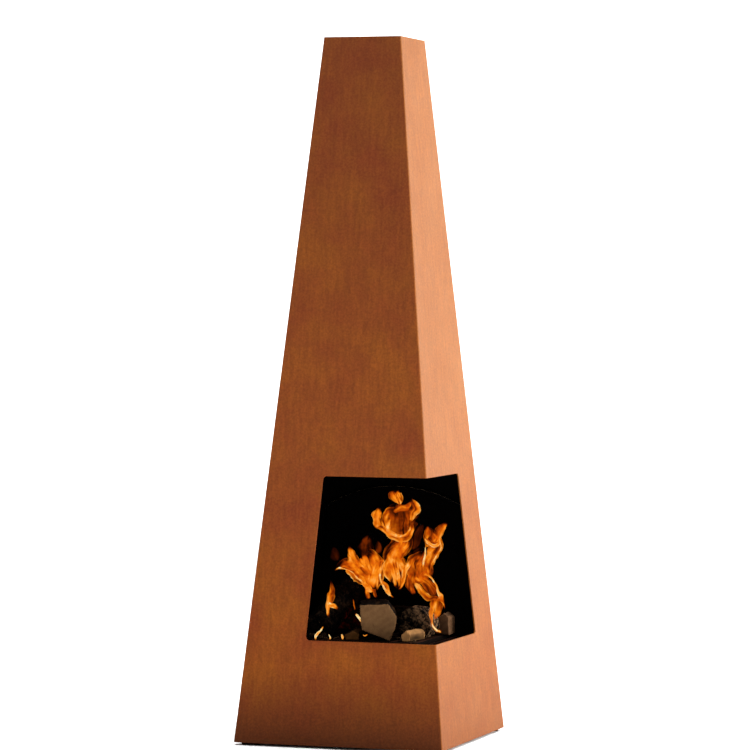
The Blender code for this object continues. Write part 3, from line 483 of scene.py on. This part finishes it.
def burning_gas(name, look):
    """Burning gas: a thin see-through body, streaked along its flow, and bright rims where it folds away."""
    made, add, shader, place = new_material(name)
    rim = add("Attribute", attribute_name="rim", out="Fac")
    body = add("Attribute", attribute_name="body", out="Fac")
    cover = add("Attribute", attribute_name="cover", out="Fac")
    warmth = add("Attribute", attribute_name="warmth", out="Fac")
    flow = add("Attribute", attribute_name="flow", out="Vector")
    drawn = add("Mapping", {0: flow, 3: (1 / look.streak, 0.2 / look.streak, 1)})
    streak = add("TexNoise", {"Vector": drawn, "Scale": 1.0, "Detail": 4, "Distortion": 0.7})
    folded = add("MapRange", {0: streak, 1: 0.34, 2: 0.7, 3: 0.08, 4: 0.7})
    billow = add("TexNoise", {"Vector": place, "Scale": 1 / look.billow, "Detail": 2})
    swell = add("MapRange", {0: billow, 1: 0.36, 2: 0.64, 3: 0.3, 4: 1.4})
    swollen = add("Math", {0: warmth, 1: swell}, operation="MULTIPLY")
    inner = add("MapRange", {0: body, 3: 0.35, 4: 1.2})
    deep = add("Math", {0: folded, 1: swollen}, operation="MULTIPLY")
    warm = add("Math", {0: deep, 1: inner}, operation="MULTIPLY")
    flicker = add("TexNoise", {"Vector": place, "Scale": 1 / look.flicker, "Detail": 2})
    gain = add("MapRange", {0: flicker, 1: 0.38, 2: 0.6, 3: 0.4, 4: 1.25})
    bright = add("Math", {0: rim, 1: gain}, operation="MULTIPLY")
    lit = add("Math", {0: bright, 1: 0.76, 2: warm}, operation="MULTIPLY_ADD")
    shade = add(
        "ValToRGB", {0: lit},
        [(0.03, look.wisp), (0.15, look.body), (0.4, look.fold), (0.72, look.rim), (1.0, look.core)])
    # The streaks tear the body where it thins out, towards its sides and its ends
    grown = add("Math", {0: body, 1: 1.9, 2: -1.95}, operation="MULTIPLY_ADD")
    torn = add("Math", {0: streak, 1: 3.0, 2: grown}, operation="MULTIPLY_ADD", use_clamp=True)
    thin = add("MapRange", {0: streak, 1: 0.36, 2: 0.62, 3: 0.26, 4: 1.0})
    thick = add("Math", {0: thin, 1: torn}, operation="MULTIPLY")
    dense = add("MapRange", {0: billow, 1: 0.36, 2: 0.64, 3: 0.5, 4: 1.3})
    swirled = add("Math", {0: thick, 1: dense}, operation="MULTIPLY")
    veil = add("Math", {0: cover, 1: swirled}, operation="MULTIPLY")
    alpha = add("Math", {0: bright, 1: 0.9, 2: veil}, operation="MULTIPLY_ADD", use_clamp=True)
    feed(shader, {
        "Base Color": (0, 0, 0, 1), "Roughness": 1.0, "Specular IOR Level": 0.0,
        "Emission Strength": look.strength, "Emission Color": shade, "Alpha": alpha})
    return made


def finish_mesh(name, bm, material, smooth=True):
    """A named object from a bmesh, with the object at the origin."""
    mesh = bpy.data.meshes.new(name)
    bm.to_mesh(mesh)
    bm.free()
    mesh.materials.append(material)
    if smooth:
        mesh.shade_smooth()
    made = bpy.data.objects.new(name, mesh)
    bpy.context.scene.collection.objects.link(made)
    return made


def merged_copy(name):
    """A bmesh of a node's shape with its loose triangles joined."""
    bm = bmesh.new()
    bm.from_mesh(NODES[name].data)
    bmesh.ops.remove_doubles(bm, verts=bm.verts, dist=WELD)
    bmesh.ops.recalc_face_normals(bm, faces=bm.faces)
    return bm


def eased_copy(name, piece, material, width, body):
    """A node's shape with its sharp edges rounded, as a casting's are."""
    bm = merged_copy(name)
    bmesh.ops.dissolve_limit(bm, angle_limit=FLAT, verts=bm.verts, edges=bm.edges)
    sharp = [edge for edge in bm.edges if edge.is_manifold and edge.calc_face_angle() > SHARP]
    bmesh.ops.bevel(
        bm, geom=sharp, offset=width, affect="EDGES", segments=2, profile=0.5, clamp_overlap=True,
        material=-1)
    bmesh.ops.triangulate(bm, faces=bm.faces)
    made = finish_mesh(piece, bm, material, smooth=False)
    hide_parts(name)
    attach(made, body)
    return made


def fine_copy(log):
    """A bmesh of even small faces in the shape of a node of the solid model."""
    rough = finish_mesh("rough_" + log, merged_copy(log), None)
    remesh = rough.modifiers.new("even", "REMESH")
    remesh.mode = "VOXEL"
    remesh.voxel_size = VOXEL
    remesh.adaptivity = 0
    shape = rough.evaluated_get(bpy.context.evaluated_depsgraph_get())
    fine = bmesh.new()
    fine.from_mesh(shape.to_mesh())
    shape.to_mesh_clear()
    # The voxels' small steps are smoothed away
    for _ in range(SMOOTHINGS):
        bmesh.ops.smooth_vert(
            fine, verts=fine.verts, factor=0.5, use_axis_x=True, use_axis_y=True, use_axis_z=True)
    mesh = rough.data
    bpy.data.objects.remove(rough)
    bpy.data.meshes.remove(mesh)
    fine.normal_update()
    return fine


def carved_log(log, piece, material, depth_at):
    """A log carved in by depth_at(place in the log's own frame, normal), with grooves and scorches marked."""
    bm = fine_copy(log)
    middle, turn = log_place(log)
    own = Matrix.Rotation(-turn, 4, "Z") @ Matrix.Translation(-middle)
    groove_mark = bm.verts.layers.float.new("groove")
    scorch_mark = bm.verts.layers.float.new("scorch")
    spin = Matrix.Rotation(-turn, 3, "Z")
    moves = []
    for vert in bm.verts:
        depth, groove, scorch = depth_at(own @ vert.co, spin @ vert.normal)
        vert[groove_mark] = groove
        vert[scorch_mark] = scorch
        moves.append(vert.normal * -depth)
    for vert, move in zip(bm.verts, moves):
        vert.co += move
    made = finish_mesh(piece, bm, material)
    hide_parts(log)
    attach(made, "grate")
    return made


def grain_noise(place, sizes):
    """Noise that changes over the given sizes across, along and up a log."""
    return noise.noise(Vector([along / size for along, size in zip(place, sizes)]))


def split_depth(scorched):
    """Fibres and splinter steps along a split log. The sawn end stays flat, with cracks from its heart."""
    def depth_at(place, normal):
        if abs(normal.y) > END_FACING:
            angle = math.atan2(place.z - CRACKS_FROM[1], place.x - CRACKS_FROM[0])
            crack = noise.noise(Vector((angle * 7.0, 3.1, 0.4)))
            groove = max(0.0, crack - 0.38) * 3.0
            return groove * 1.5 * MM, min(1.0, groove), 0.0
        fibre = grain_noise(place, FIBRE)
        depth = (1.2 + 1.1 * fibre + 1.6 * grain_noise(place, SPLINTER)) * MM
        groove = max(0.0, fibre - 0.35) * 1.4
        scorch = scorched + 0.5 * grain_noise(place, SCORCH)
        return depth, min(1.0, groove), min(0.98, max(0.0, scorch))
    return depth_at


def char_depth(look):
    """The cracks of burnt wood: blocks that are longer along the log than across it."""
    def depth_at(place, normal):
        spot = Vector((place.x / look.crack, place.y / (1.6 * look.crack), place.z / look.crack))
        wander = 0.35 * noise.noise_vector(spot * 1.7)
        near, far = noise.voronoi(spot + wander)[0][:2]
        groove = max(0.0, 1.0 - (far - near) / 0.22)
        lump = noise.noise(spot * 0.45)
        return look.crack_depth * groove + (1.4 + 2.2 * lump) * MM, groove ** 1.5, 0.0
    return depth_at


def charcoal(name, material, count):
    """Broken charcoal that has dropped between the logs and lies on the grate's bars."""
    pick = random.Random(LUMP_SEED)
    seen = bpy.context.evaluated_depsgraph_get()
    bm = bmesh.new()
    mark = bm.verts.layers.float.new("groove")
    reach = (GRATE_HIGH.x - GRATE_LOW.x) / 2
    laid = 0
    for _ in range(TRIES_A_LUMP * count):
        if laid == count:
            break
        size = pick.uniform(*LUMP_MM) * MM
        x, y = (pick.uniform(size - reach, reach - size) for _ in range(2))
        clear = all(
            "grate" in bpy.context.scene.ray_cast(
                seen, (x + dx * size / 2, y + dy * size / 2, OVER_LOGS), (0, 0, -1))[4].name
            for dx, dy in ((-1, 0), (1, 0), (0, -1), (0, 1)))
        if not clear:
            continue
        laid += 1
        where = Vector((x, y, GRATE_HIGH.z + 0.3 * size))
        turned = Matrix.Rotation(pick.uniform(0, math.pi), 4, Vector((pick.random(), pick.random(), 0.3)))
        shape = Matrix.Diagonal((1, pick.uniform(0.6, 1.0), pick.uniform(0.5, 0.8), 1))
        made = bmesh.ops.create_icosphere(
            bm, subdivisions=3, radius=size / 2, matrix=Matrix.Translation(where) @ turned @ shape)
        for vert in made["verts"]:
            spot = vert.co / size
            near, far = noise.voronoi(spot * 2.2)[0][:2]
            facet = max(0.0, 1.0 - (far - near) / 0.3)
            vert.co += (vert.co - where) * (0.5 * noise.noise(spot * 1.6) - 0.16 * facet)
            vert[mark] = facet
            vert.co.z = max(vert.co.z, GRATE_HIGH.z + LUMP_GAP)
    bmesh.ops.recalc_face_normals(bm, faces=bm.faces)
    piece = finish_mesh(name, bm, material)
    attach(piece, "grate")
    return piece


def ash_heap(name, material, reach, height):
    """A low drift of ash on the tray's floor, under the grate's bars."""
    bm = bmesh.new()
    bmesh.ops.create_icosphere(bm, subdivisions=6, radius=1.0)
    for vert in bm.verts:
        side = Vector((vert.co.x, vert.co.y, 0))
        ragged = 1 + 0.16 * noise.noise(side * 2.1) + 0.04 * noise.noise(side * 9)
        drift = 0.62 + 0.55 * noise.noise(side * 3.3) + 0.2 * noise.noise(side * 14)
        top = max(0.0, vert.co.z) ** 0.7 * height * min(1.0, max(0.1, drift))
        vert.co = Vector((side.x * reach * ragged, side.y * reach * ragged, ASH_BASE + top))
    bmesh.ops.recalc_face_normals(bm, faces=bm.faces)
    piece = finish_mesh(name, bm, material)
    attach(piece, "ash_tray")
    return piece


# The strokes that make each group of flames: how far a stroke stands forwards, how much it hides, how bright
# its left and right rims are, and its spine of (across, height, width), all in millimetres in a plane that
# faces the camera. Across is 0 on the camera's axis, and left and right are as the spine is followed
FLAMES = {
    "flames_top": (
        (20, 1.00, 0.3, 0.6, ((54, 499, 3), (53, 507, 14), (48, 517, 28), (44, 526, 27), (45, 534, 6))),
        (16, 0.95, 0.7, 0.3, ((8, 453, 10), (5, 466, 20), (4, 481, 19), (8, 496, 4))),
        (18, 0.85, 0.4, 0.4, ((-2, 466, 5), (10, 455, 12), (21, 447, 12), (32, 438, 8), (42, 432, 4))),
        (4, 0.36, 0.1, 0.1, (
            (55, 425, 15), (55, 439, 50), (55, 455, 66), (55, 470, 68), (55, 486, 64), (56, 499, 44),
            (57, 510, 8))),
        (12, 0.85, 0.5, 0.7, (
            (33, 472, 5), (29, 456, 11), (28, 443, 13), (39, 434, 15), (55, 429, 17), (69, 433, 16),
            (77, 445, 12), (79, 456, 9), (78, 468, 4))),
        (14, 1.00, 1.0, 1.0, (
            (33, 466, 1), (30, 452, 3), (31, 441, 4), (42, 435, 4), (55, 433, 4), (66, 438, 3), (74, 448, 3),
            (76, 458, 2), (75, 466, 1))),
        (10, 0.95, 0.4, 0.1, ((32, 440, 12), (24, 460, 20), (24, 477, 18), (31, 490, 12), (50, 494, 5))),
        (8, 0.70, 0.1, 0.1, ((40, 486, 8), (52, 491, 14), (66, 494, 14), (78, 502, 6))),
        (16, 1.00, 0.2, 1.0, ((74, 468, 6), (82, 483, 20), (86, 498, 20), (78, 513, 4))),
        (12, 0.80, 0.4, 0.4, ((58, 494, 4), (70, 499, 9), (79, 508, 4))),
    ),
    "flames_middle": (
        (2, 1.00, 0.3, 0.3, (
            (52, 318, 6), (52, 338, 28), (48, 357, 42), (42, 372, 44), (38, 388, 42), (45, 401, 42),
            (57, 413, 44), (62, 426, 38), (58, 436, 14))),
        (5, 0.80, 0.2, 0.2, ((58, 352, 10), (50, 372, 30), (46, 392, 30), (58, 412, 26), (64, 428, 8))),
        (6, 0.90, 0.7, 0.3, ((36, 336, 6), (26, 356, 19), (29, 375, 19), (36, 390, 6))),
        (16, 1.00, 1.0, 1.0, ((47, 384, 1), (50, 364, 3), (52, 346, 4), (51, 322, 2))),
        (18, 0.95, 0.6, 0.9, ((79, 382, 5), (65, 364, 10), (61, 349, 9), (59, 331, 8), (52, 318, 2))),
        (12, 0.85, 0.5, 0.5, ((44, 326, 3), (42, 344, 8), (38, 360, 8), (34, 374, 2))),
        (-2, 0.62, 0.5, 0.3, ((86, 328, 12), (86, 351, 34), (83, 372, 36), (94, 388, 25), (104, 403, 3))),
        (-4, 0.50, 0.1, 0.1, ((98, 330, 10), (100, 350, 40), (104, 372, 36), (112, 396, 20), (112, 410, 4))),
    ),
    "flames_left": (
        (12, 1.00, 0.9, 0.2, (
            (-5, 318, 8), (-15, 338, 34), (-28, 354, 43), (-46, 366, 39), (-64, 373, 25), (-86, 362, 3))),
        (10, 0.90, 0.2, 0.2, ((-8, 318, 10), (-12, 340, 44), (-14, 362, 54), (-20, 382, 34), (-24, 394, 8))),
        (8, 0.90, 0.3, 0.3, ((-38, 356, 30), (-46, 384, 25), (-53, 401, 11), (-54, 414, 2))),
        (14, 0.95, 0.2, 0.7, (
            (-2, 318, 12), (-1, 338, 34), (3, 357, 34), (6, 375, 30), (-3, 393, 20), (-17, 407, 3))),
        (12, 0.80, 0.2, 0.4, ((4, 373, 12), (13, 381, 7), (22, 384, 1))),
        (20, 1.00, 1.0, 1.0, (
            (-87, 361, 2), (-75, 366, 3), (-62, 362, 2), (-46, 353, 2), (-32, 340, 3), (-22, 326, 5),
            (-15, 315, 2))),
        (20, 0.95, 0.6, 0.6, ((-24, 338, 5), (-17, 326, 12), (-10, 318, 10), (-4, 316, 4))),
        (22, 0.55, 0.2, 0.2, ((-17, 322, 9), (-16, 309, 9), (-15, 299, 4))),
        (22, 0.50, 0.2, 0.2, ((-2, 322, 6), (-1, 310, 7), (4, 300, 3))),
        (90, 0.95, 1.0, 1.0, (
            (15, 375, 1), (12, 357, 3), (13, 338, 3), (19, 324, 3), (26, 312, 4), (35, 305, 3),
            (41, 300, 1))),
        (80, 0.80, 0.4, 0.6, ((13, 340, 3), (22, 328, 8), (30, 314, 5), (33, 308, 2))),
        (-6, 0.20, 0.0, 0.05, ((-18, 388, 20), (-20, 404, 42), (-20, 418, 34), (-12, 438, 5))),
        (-8, 0.17, 0.0, 0.04, ((2, 394, 8), (8, 410, 18), (2, 426, 4))),
        (-8, 0.07, 0.0, 0.0, ((-82, 380, 12), (-86, 396, 22), (-90, 411, 4))),
    ),
    "flames_right": (
        (4, 0.80, 0.4, 0.6, (
            (117, 345, 10), (114, 371, 24), (122, 393, 27), (130, 411, 31), (125, 424, 38), (117, 438, 28),
            (113, 455, 5))),
        (8, 0.90, 0.2, 0.6, ((128, 418, 14), (136, 439, 21), (143, 452, 15), (155, 464, 2))),
        (10, 0.85, 0.4, 0.2, ((112, 428, 8), (113, 442, 14), (114, 456, 3))),
        (14, 1.00, 1.0, 1.0, ((107, 431, 2), (114, 421, 6), (125, 413, 7), (136, 417, 7), (141, 430, 2))),
        (16, 0.90, 1.0, 1.0, (
            (140, 443, 1), (140, 424, 3), (141, 408, 3), (132, 393, 3), (125, 380, 2), (118, 357, 1))),
        (16, 0.90, 1.0, 1.0, ((110, 415, 1), (107, 393, 3), (104, 375, 3), (103, 350, 1))),
        (-8, 0.16, 0.0, 0.08, ((82, 404, 9), (88, 428, 24), (94, 446, 19), (101, 463, 4))),
        (-8, 0.12, 0.04, 0.02, ((72, 402, 5), (78, 392, 12), (88, 396, 12), (98, 412, 4))),
    ),
    "flames_low": (
        (60, 0.85, 0.5, 0.8, (
            (99, 353, 5), (117, 349, 4), (127, 336, 3), (135, 318, 5), (143, 300, 8), (150, 282, 2))),
        (64, 1.00, 0.6, 0.6, ((84, 337, 2), (94, 323, 11), (104, 310, 13), (117, 301, 13), (134, 300, 5))),
        (58, 0.50, 0.1, 0.1, ((97, 350, 8), (112, 332, 28), (124, 315, 28), (137, 298, 6))),
        (54, 0.60, 0.1, 0.3, ((84, 346, 8), (95, 338, 16), (104, 352, 14), (118, 352, 4))),
        (50, 0.50, 0.2, 0.2, ((73, 352, 7), (76, 330, 19), (86, 308, 4))),
        (98, 0.75, 0.5, 0.4, (
            (130, 304, 6), (125, 288, 14), (122, 271, 12), (121, 256, 7), (123, 243, 5), (130, 232, 5),
            (138, 228, 7), (142, 226, 2))),
        (100, 1.00, 1.6, 1.6, ((121, 252, 1), (124, 241, 2), (130, 233, 3), (138, 228, 4), (142, 226, 1))),
        (98, 0.70, 0.4, 0.8, ((141, 306, 6), (139, 289, 17), (135, 272, 13), (128, 252, 2))),
        (96, 0.90, 0.2, 0.6, ((120, 302, 6), (133, 300, 12), (142, 298, 12), (148, 288, 4), (150, 276, 1))),
        (85, 0.75, 0.6, 0.3, (
            (-99, 257, 2), (-102, 274, 8), (-98, 289, 15), (-95, 305, 15), (-91, 322, 10), (-95, 342, 1))),
        (88, 1.00, 1.6, 1.6, ((-99, 292, 3), (-92, 287, 8), (-86, 284, 8), (-80, 277, 3))),
        (120, 1.00, 1.8, 1.8, ((-42, 268, 3), (-37, 263, 8), (-33, 256, 6), (-31, 249, 2))),
        (110, 0.50, 0.4, 0.4, ((-47, 298, 1), (-46, 286, 2), (-44, 274, 1))),
        (130, 0.95, 1.6, 1.6, (
            (-111, 239, 1), (-117, 231, 4), (-123, 225, 6), (-128, 219, 5), (-127, 211, 2))),
        (130, 0.80, 1.1, 1.1, ((-99, 225, 1), (-97, 218, 4), (-98, 213, 1))),
        (130, 0.70, 1.2, 1.2, ((-72, 223, 1), (-70, 217, 5), (-69, 212, 1))),
        (140, 0.90, 1.5, 1.5, ((-25, 223, 1), (-20, 221, 3), (-15, 224, 1))),
    ),
}
# A stroke's depth to its width, the corners of its ring, and the rings between two places of its spine
FLAME_DEPTH_SHARE = 0.35
FLAME_SIDES = 16
FLAME_STEPS = 6

# How far along itself a stroke has faded in, and from how far before its end it fades out
FADE_IN_SHARE = 0.16
FADE_OUT_SHARE = 0.3

# How far a stroke's edges go in and out, and over what length in millimetres
RAGGED_SHARE = 0.24
RAGGED_LENGTH = 9.0

# The waves that bend every stroke: how far, over what length, and where in the noise, in millimetres
WAVES = ((3.0, 17, 0), (0.9, 6, 40))


def flame_point(across, up, near):
    """A place in the flames' plane, drawn near the camera so that it still looks to be at the same spot."""
    flat = AIM + VIEW @ Vector((across, up - AIM.z, 0))
    return flat + (EYE - flat).normalized() * near


def smooth_path(rows, steps):
    """The rows of a table with steps more between each pair, on a smooth curve through them."""
    ends = [rows[0], *rows, rows[-1]]
    path = []
    for a, b, c, d in zip(ends, ends[1:], ends[2:], ends[3:]):
        for step in range(steps):
            t = step / steps
            path.append([
                0.5 * (2 * q + (r - p) * t + (2 * p - 5 * q + 4 * r - s) * t * t
                       + (3 * q - p - 3 * r + s) * t ** 3)
                for p, q, r, s in zip(a, b, c, d)])
    path.append(list(rows[-1]))
    return path


def flame_stroke(bm, marks, stroke, seed, rim_width):
    """One tongue: rings of a flat lens drawn along a curved spine, fading out at both ends."""
    near, cover, left, right, rows = stroke
    rim_mark, body_mark, cover_mark, warmth_mark, flow_mark = marks
    path = smooth_path(rows, FLAME_STEPS)
    ring = list(bmesh.ops.create_circle(bm, cap_ends=True, segments=FLAME_SIDES, radius=1.0)["verts"])
    edges = {edge for vert in ring for edge in vert.link_edges}
    run_length = 0.0
    for number, (across, up, width) in enumerate(path):
        if number:
            run_length += math.dist(path[number - 1][:2], (across, up))
            drawn = bmesh.ops.extrude_edge_only(bm, edges=list(edges))["geom"]
            new = {item for item in drawn if isinstance(item, bmesh.types.BMVert)}
            edges = {
                item for item in drawn
                if isinstance(item, bmesh.types.BMEdge) and item.verts[0] in new and item.verts[1] in new}
            ring = [
                next(edge.other_vert(old) for edge in old.link_edges if edge.other_vert(old) in new)
                for old in ring]
        before, after = path[max(number - 1, 0)], path[min(number + 1, len(path) - 1)]
        run = Vector((after[0] - before[0], after[1] - before[1])).normalized()
        share = number / (len(path) - 1)
        fade = min(1.0, share / FADE_IN_SHARE, (1 - share) / FADE_OUT_SHARE)
        fade = fade * fade * (3 - 2 * fade)
        for index, vert in enumerate(ring):
            turn = 2 * math.pi * index / FLAME_SIDES
            side = math.cos(turn)
            own_edge = seed * 3.7 + math.copysign(5.0, side)
            ragged = noise.noise(Vector((own_edge, run_length / RAGGED_LENGTH, 0.5)))
            half = max(width, 0.5) / 2 * (1 + RAGGED_SHARE * ragged)
            x, y = across + run.y * side * half, up - run.x * side * half
            wave = Vector()
            for reach, length_of_wave, layer in WAVES:
                wave += reach * noise.noise_vector(Vector((x, y, layer)) / length_of_wave)
            vert.co = flame_point(
                (x + wave.x) * MM, (y + wave.y) * MM,
                (near + math.sin(turn) * half * FLAME_DEPTH_SHARE) * MM)
            from_edge = (1 - abs(side)) * half * MM
            strength = right if side > 0 else left
            vert[rim_mark] = fade * strength * math.exp(-from_edge / rim_width)
            vert[body_mark] = fade * (1 - side * side)
            vert[cover_mark] = cover
            vert[warmth_mark] = cover * (1.15 - 0.6 * share)
            vert[flow_mark] = Vector((side * half * MM, run_length * MM, seed * 1.7))
    bmesh.ops.contextual_create(bm, geom=list(edges))


class FIREPLACE_OT_casing(bpy.types.Operator):
    """Rust and soot on the folded sheets, the base ring and the ledges"""

    bl_idname = "fireplace.casing"
    bl_label = "Casing"

    def execute(self, context):
        look = context.scene.fireplace_steel
        dress("front_shell", weathering_steel("weathering_steel_front_sheet", look, FRONT_SOOT))
        dress("rear_shell", weathering_steel("weathering_steel_rear_sheet", look, REAR_SOOT))
        inner = weathering_steel("weathering_steel_inner_frame", look, NO_SOOT)
        for name in NODES:
            if name == "base_ring" or name.startswith("hearth_ledge"):
                dress(name, inner)
        return {"FINISHED"}


class FIREPLACE_OT_hearth(bpy.types.Operator):
    """Finishes of the hearth plate, firebacks, tray, grate, feet and fasteners"""

    bl_idname = "fireplace.hearth"
    bl_label = "Hearth, tray and fasteners"

    def execute(self, context):
        look = context.scene.fireplace_hearth
        plate = dusted_iron(
            "heat_resistant_paint_on_steel", look.paint, look.paint_dust, look.paint_grit, 0.5, 0.9)
        iron = dusted_iron("sand_cast_iron", look.iron, look.iron_dust, look.iron_grit, 0.5, 0.85)
        # On the firebacks the pale up-facing edges are partly ash and partly a painted highlight
        shield = dusted_iron("sooted_cast_iron", look.shield, look.shield_ash_and_highlight, look.iron_grit, 0.95, 0.9)
        zinc = zinc_plate("zinc_plated_steel", look, context.scene.fireplace_steel.soot)
        for name in NODES:
            if name in ("hearth_plate", "ash_tray") or name.startswith(("foot_pad", "tray_tab")):
                dress(name, plate)
            elif any(part in name for part in ("_nut_", "_screw_", "_bolt_", "_spacer_")):
                dress(name, zinc)
        eased_copy("grate", "eased_grate", iron, look.grate_edge, "grate")
        for name in ("fireback_left", "fireback_rear"):
            eased_copy(name, "eased_" + name, shield, look.shield_edge, "casing")
        ash_heap("ash_heap", wood_ash("wood_ash", look), ASH_REACH, ASH_HEIGHT)
        return {"FINISHED"}


class FIREPLACE_OT_logs(bpy.types.Operator):
    """Split and burnt logs carved from the plain ones, and charcoal between them"""

    bl_idname = "fireplace.logs"
    bl_label = "Logs and charcoal"

    def execute(self, context):
        noise.seed_set(NOISE_SEED)
        look = context.scene.fireplace_wood
        for log, face, ring, charred, scorched in SPLIT_LOGS:
            wood = sawn_wood("sawn_firewood_" + log, log, look, face, ring, charred)
            carved_log(log, "worked_" + log, wood, split_depth(scorched))
        for log, ashen, heat in BURNT_LOGS:
            wood = charred_wood("charred_firewood_" + log, *log_place(log), look, ashen, heat)
            carved_log(log, "worked_" + log, wood, char_depth(look))
        coal = charred_wood("charcoal", Vector(), 0.0, look, CHARCOAL_ASH, CHARCOAL_HEAT)
        charcoal("charcoal_on_grate", coal, look.lumps)
        return {"FINISHED"}


class FIREPLACE_OT_flames(bpy.types.Operator):
    """Tongues of flame over the logs"""

    bl_idname = "fireplace.flames"
    bl_label = "Flames"

    def execute(self, context):
        noise.seed_set(NOISE_SEED)
        look = context.scene.fireplace_fire
        gas = burning_gas("burning_gas", look)
        seed = 0
        for name, strokes in FLAMES.items():
            bm = bmesh.new()
            marks = [bm.verts.layers.float.new(mark) for mark in ("rim", "body", "cover", "warmth")]
            marks.append(bm.verts.layers.float_vector.new("flow"))
            for stroke in strokes:
                seed += 1
                flame_stroke(bm, marks, stroke, seed, look.rim_width)
            bmesh.ops.recalc_face_normals(bm, faces=bm.faces)
            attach(finish_mesh(name, bm, gas), "grate")
        return {"FINISHED"}


def area_light(name, place, target, size, watts):
    """A soft box light at a place, facing a target."""
    data = bpy.data.lights.new(name, "AREA")
    data.shape = "RECTANGLE"
    data.size, data.size_y = size
    data.energy = watts
    made = bpy.data.objects.new(name, data)
    made.location = place
    made.rotation_euler = (Vector(target) - Vector(place)).to_track_quat("-Z", "Y").to_euler()
    bpy.context.scene.collection.objects.link(made)


class FIREPLACE_OT_stage(bpy.types.Operator):
    """Pale floor and backdrop, soft lights and the camera"""

    bl_idname = "fireplace.stage"
    bl_label = "Stage"

    def execute(self, context):
        scene, look = context.scene, context.scene.fireplace_stage
        made, add, shader, place = new_material("pale_studio_board")
        cloud = add("TexNoise", {"Vector": place, "Scale": 1 / look.floor_patch})
        shade = add("ValToRGB", {0: cloud}, [(0.3, look.floor), (0.7, look.floor_pale)])
        feed(shader, {"Roughness": 0.9, "Base Color": shade})
        # A floor that curves up into a backdrop: its side view is drawn once and pulled across
        bm = bmesh.new()
        profile = [(STAGE_FRONT, 0)]
        for step in range(BEND_STEPS + 1):
            t = math.pi / 2 * step / BEND_STEPS
            profile.append((
                STAGE_BACK - BEND_RADIUS + BEND_RADIUS * math.sin(t),
                BEND_RADIUS - BEND_RADIUS * math.cos(t)))
        profile.append((STAGE_BACK, STAGE_TOP))
        side = [bm.verts.new((-STAGE_HALF, y, z)) for y, z in profile]
        edges = [bm.edges.new(pair) for pair in zip(side, side[1:])]
        drawn = bmesh.ops.extrude_edge_only(bm, edges=edges)["geom"]
        moved = [item for item in drawn if isinstance(item, bmesh.types.BMVert)]
        bmesh.ops.translate(bm, verts=moved, vec=(2 * STAGE_HALF, 0, 0))
        bmesh.ops.recalc_face_normals(bm, faces=bm.faces)
        finish_mesh("floor_and_backdrop", bm, made)

        for name, (spot, target, size) in LIGHTS.items():
            area_light(name, spot, target, size, getattr(look, name))
        world = bpy.data.worlds.new("soft_fill")
        world.use_nodes = True
        feed(world.node_tree.nodes["Background"], {"Color": (1, 1, 1, 1), "Strength": look.world})
        scene.world = world

        data = bpy.data.cameras.new("camera")
        data.lens, data.sensor_width, data.clip_end = look.lens, SENSOR_MM, FARTHEST_SEEN
        camera = bpy.data.objects.new("camera", data)
        camera.location = EYE
        camera.rotation_euler = VIEW.to_euler()
        scene.collection.objects.link(camera)
        scene.camera = camera
        scene.view_settings.view_transform = "Standard"
        scene.view_settings.look = "None"
        return {"FINISHED"}


PIECES = (
    FIREPLACE_OT_casing, FIREPLACE_OT_hearth, FIREPLACE_OT_logs, FIREPLACE_OT_flames, FIREPLACE_OT_stage,
)
LOOKS = {
    "fireplace_steel": SteelLook, "fireplace_hearth": HearthLook, "fireplace_wood": WoodLook,
    "fireplace_fire": FireLook, "fireplace_stage": StageLook,
}


class FIREPLACE_PT_looks(bpy.types.Panel):
    """Lists the steps that dress the fireplace"""

    bl_idname = "FIREPLACE_PT_looks"
    bl_label = "Fireplace"
    bl_space_type = "VIEW_3D"
    bl_region_type = "UI"
    bl_category = "Fireplace"

    def draw(self, context):
        for piece in PIECES:
            self.layout.operator(piece.bl_idname)


def register():
    for group in (*LOOKS.values(), *PIECES, FIREPLACE_PT_looks):
        bpy.utils.register_class(group)
    for name, group in LOOKS.items():
        setattr(bpy.types.Scene, name, PointerProperty(type=group))


def unregister():
    for name in LOOKS:
        delattr(bpy.types.Scene, name)
    for group in (FIREPLACE_PT_looks, *PIECES, *LOOKS.values()):
        bpy.utils.unregister_class(group)


def main():
    register()
    bpy.ops.fireplace.casing()
    bpy.ops.fireplace.hearth()
    bpy.ops.fireplace.logs()
    bpy.ops.fireplace.flames()
    bpy.ops.fireplace.stage()


if __name__ == "__main__":
    main()
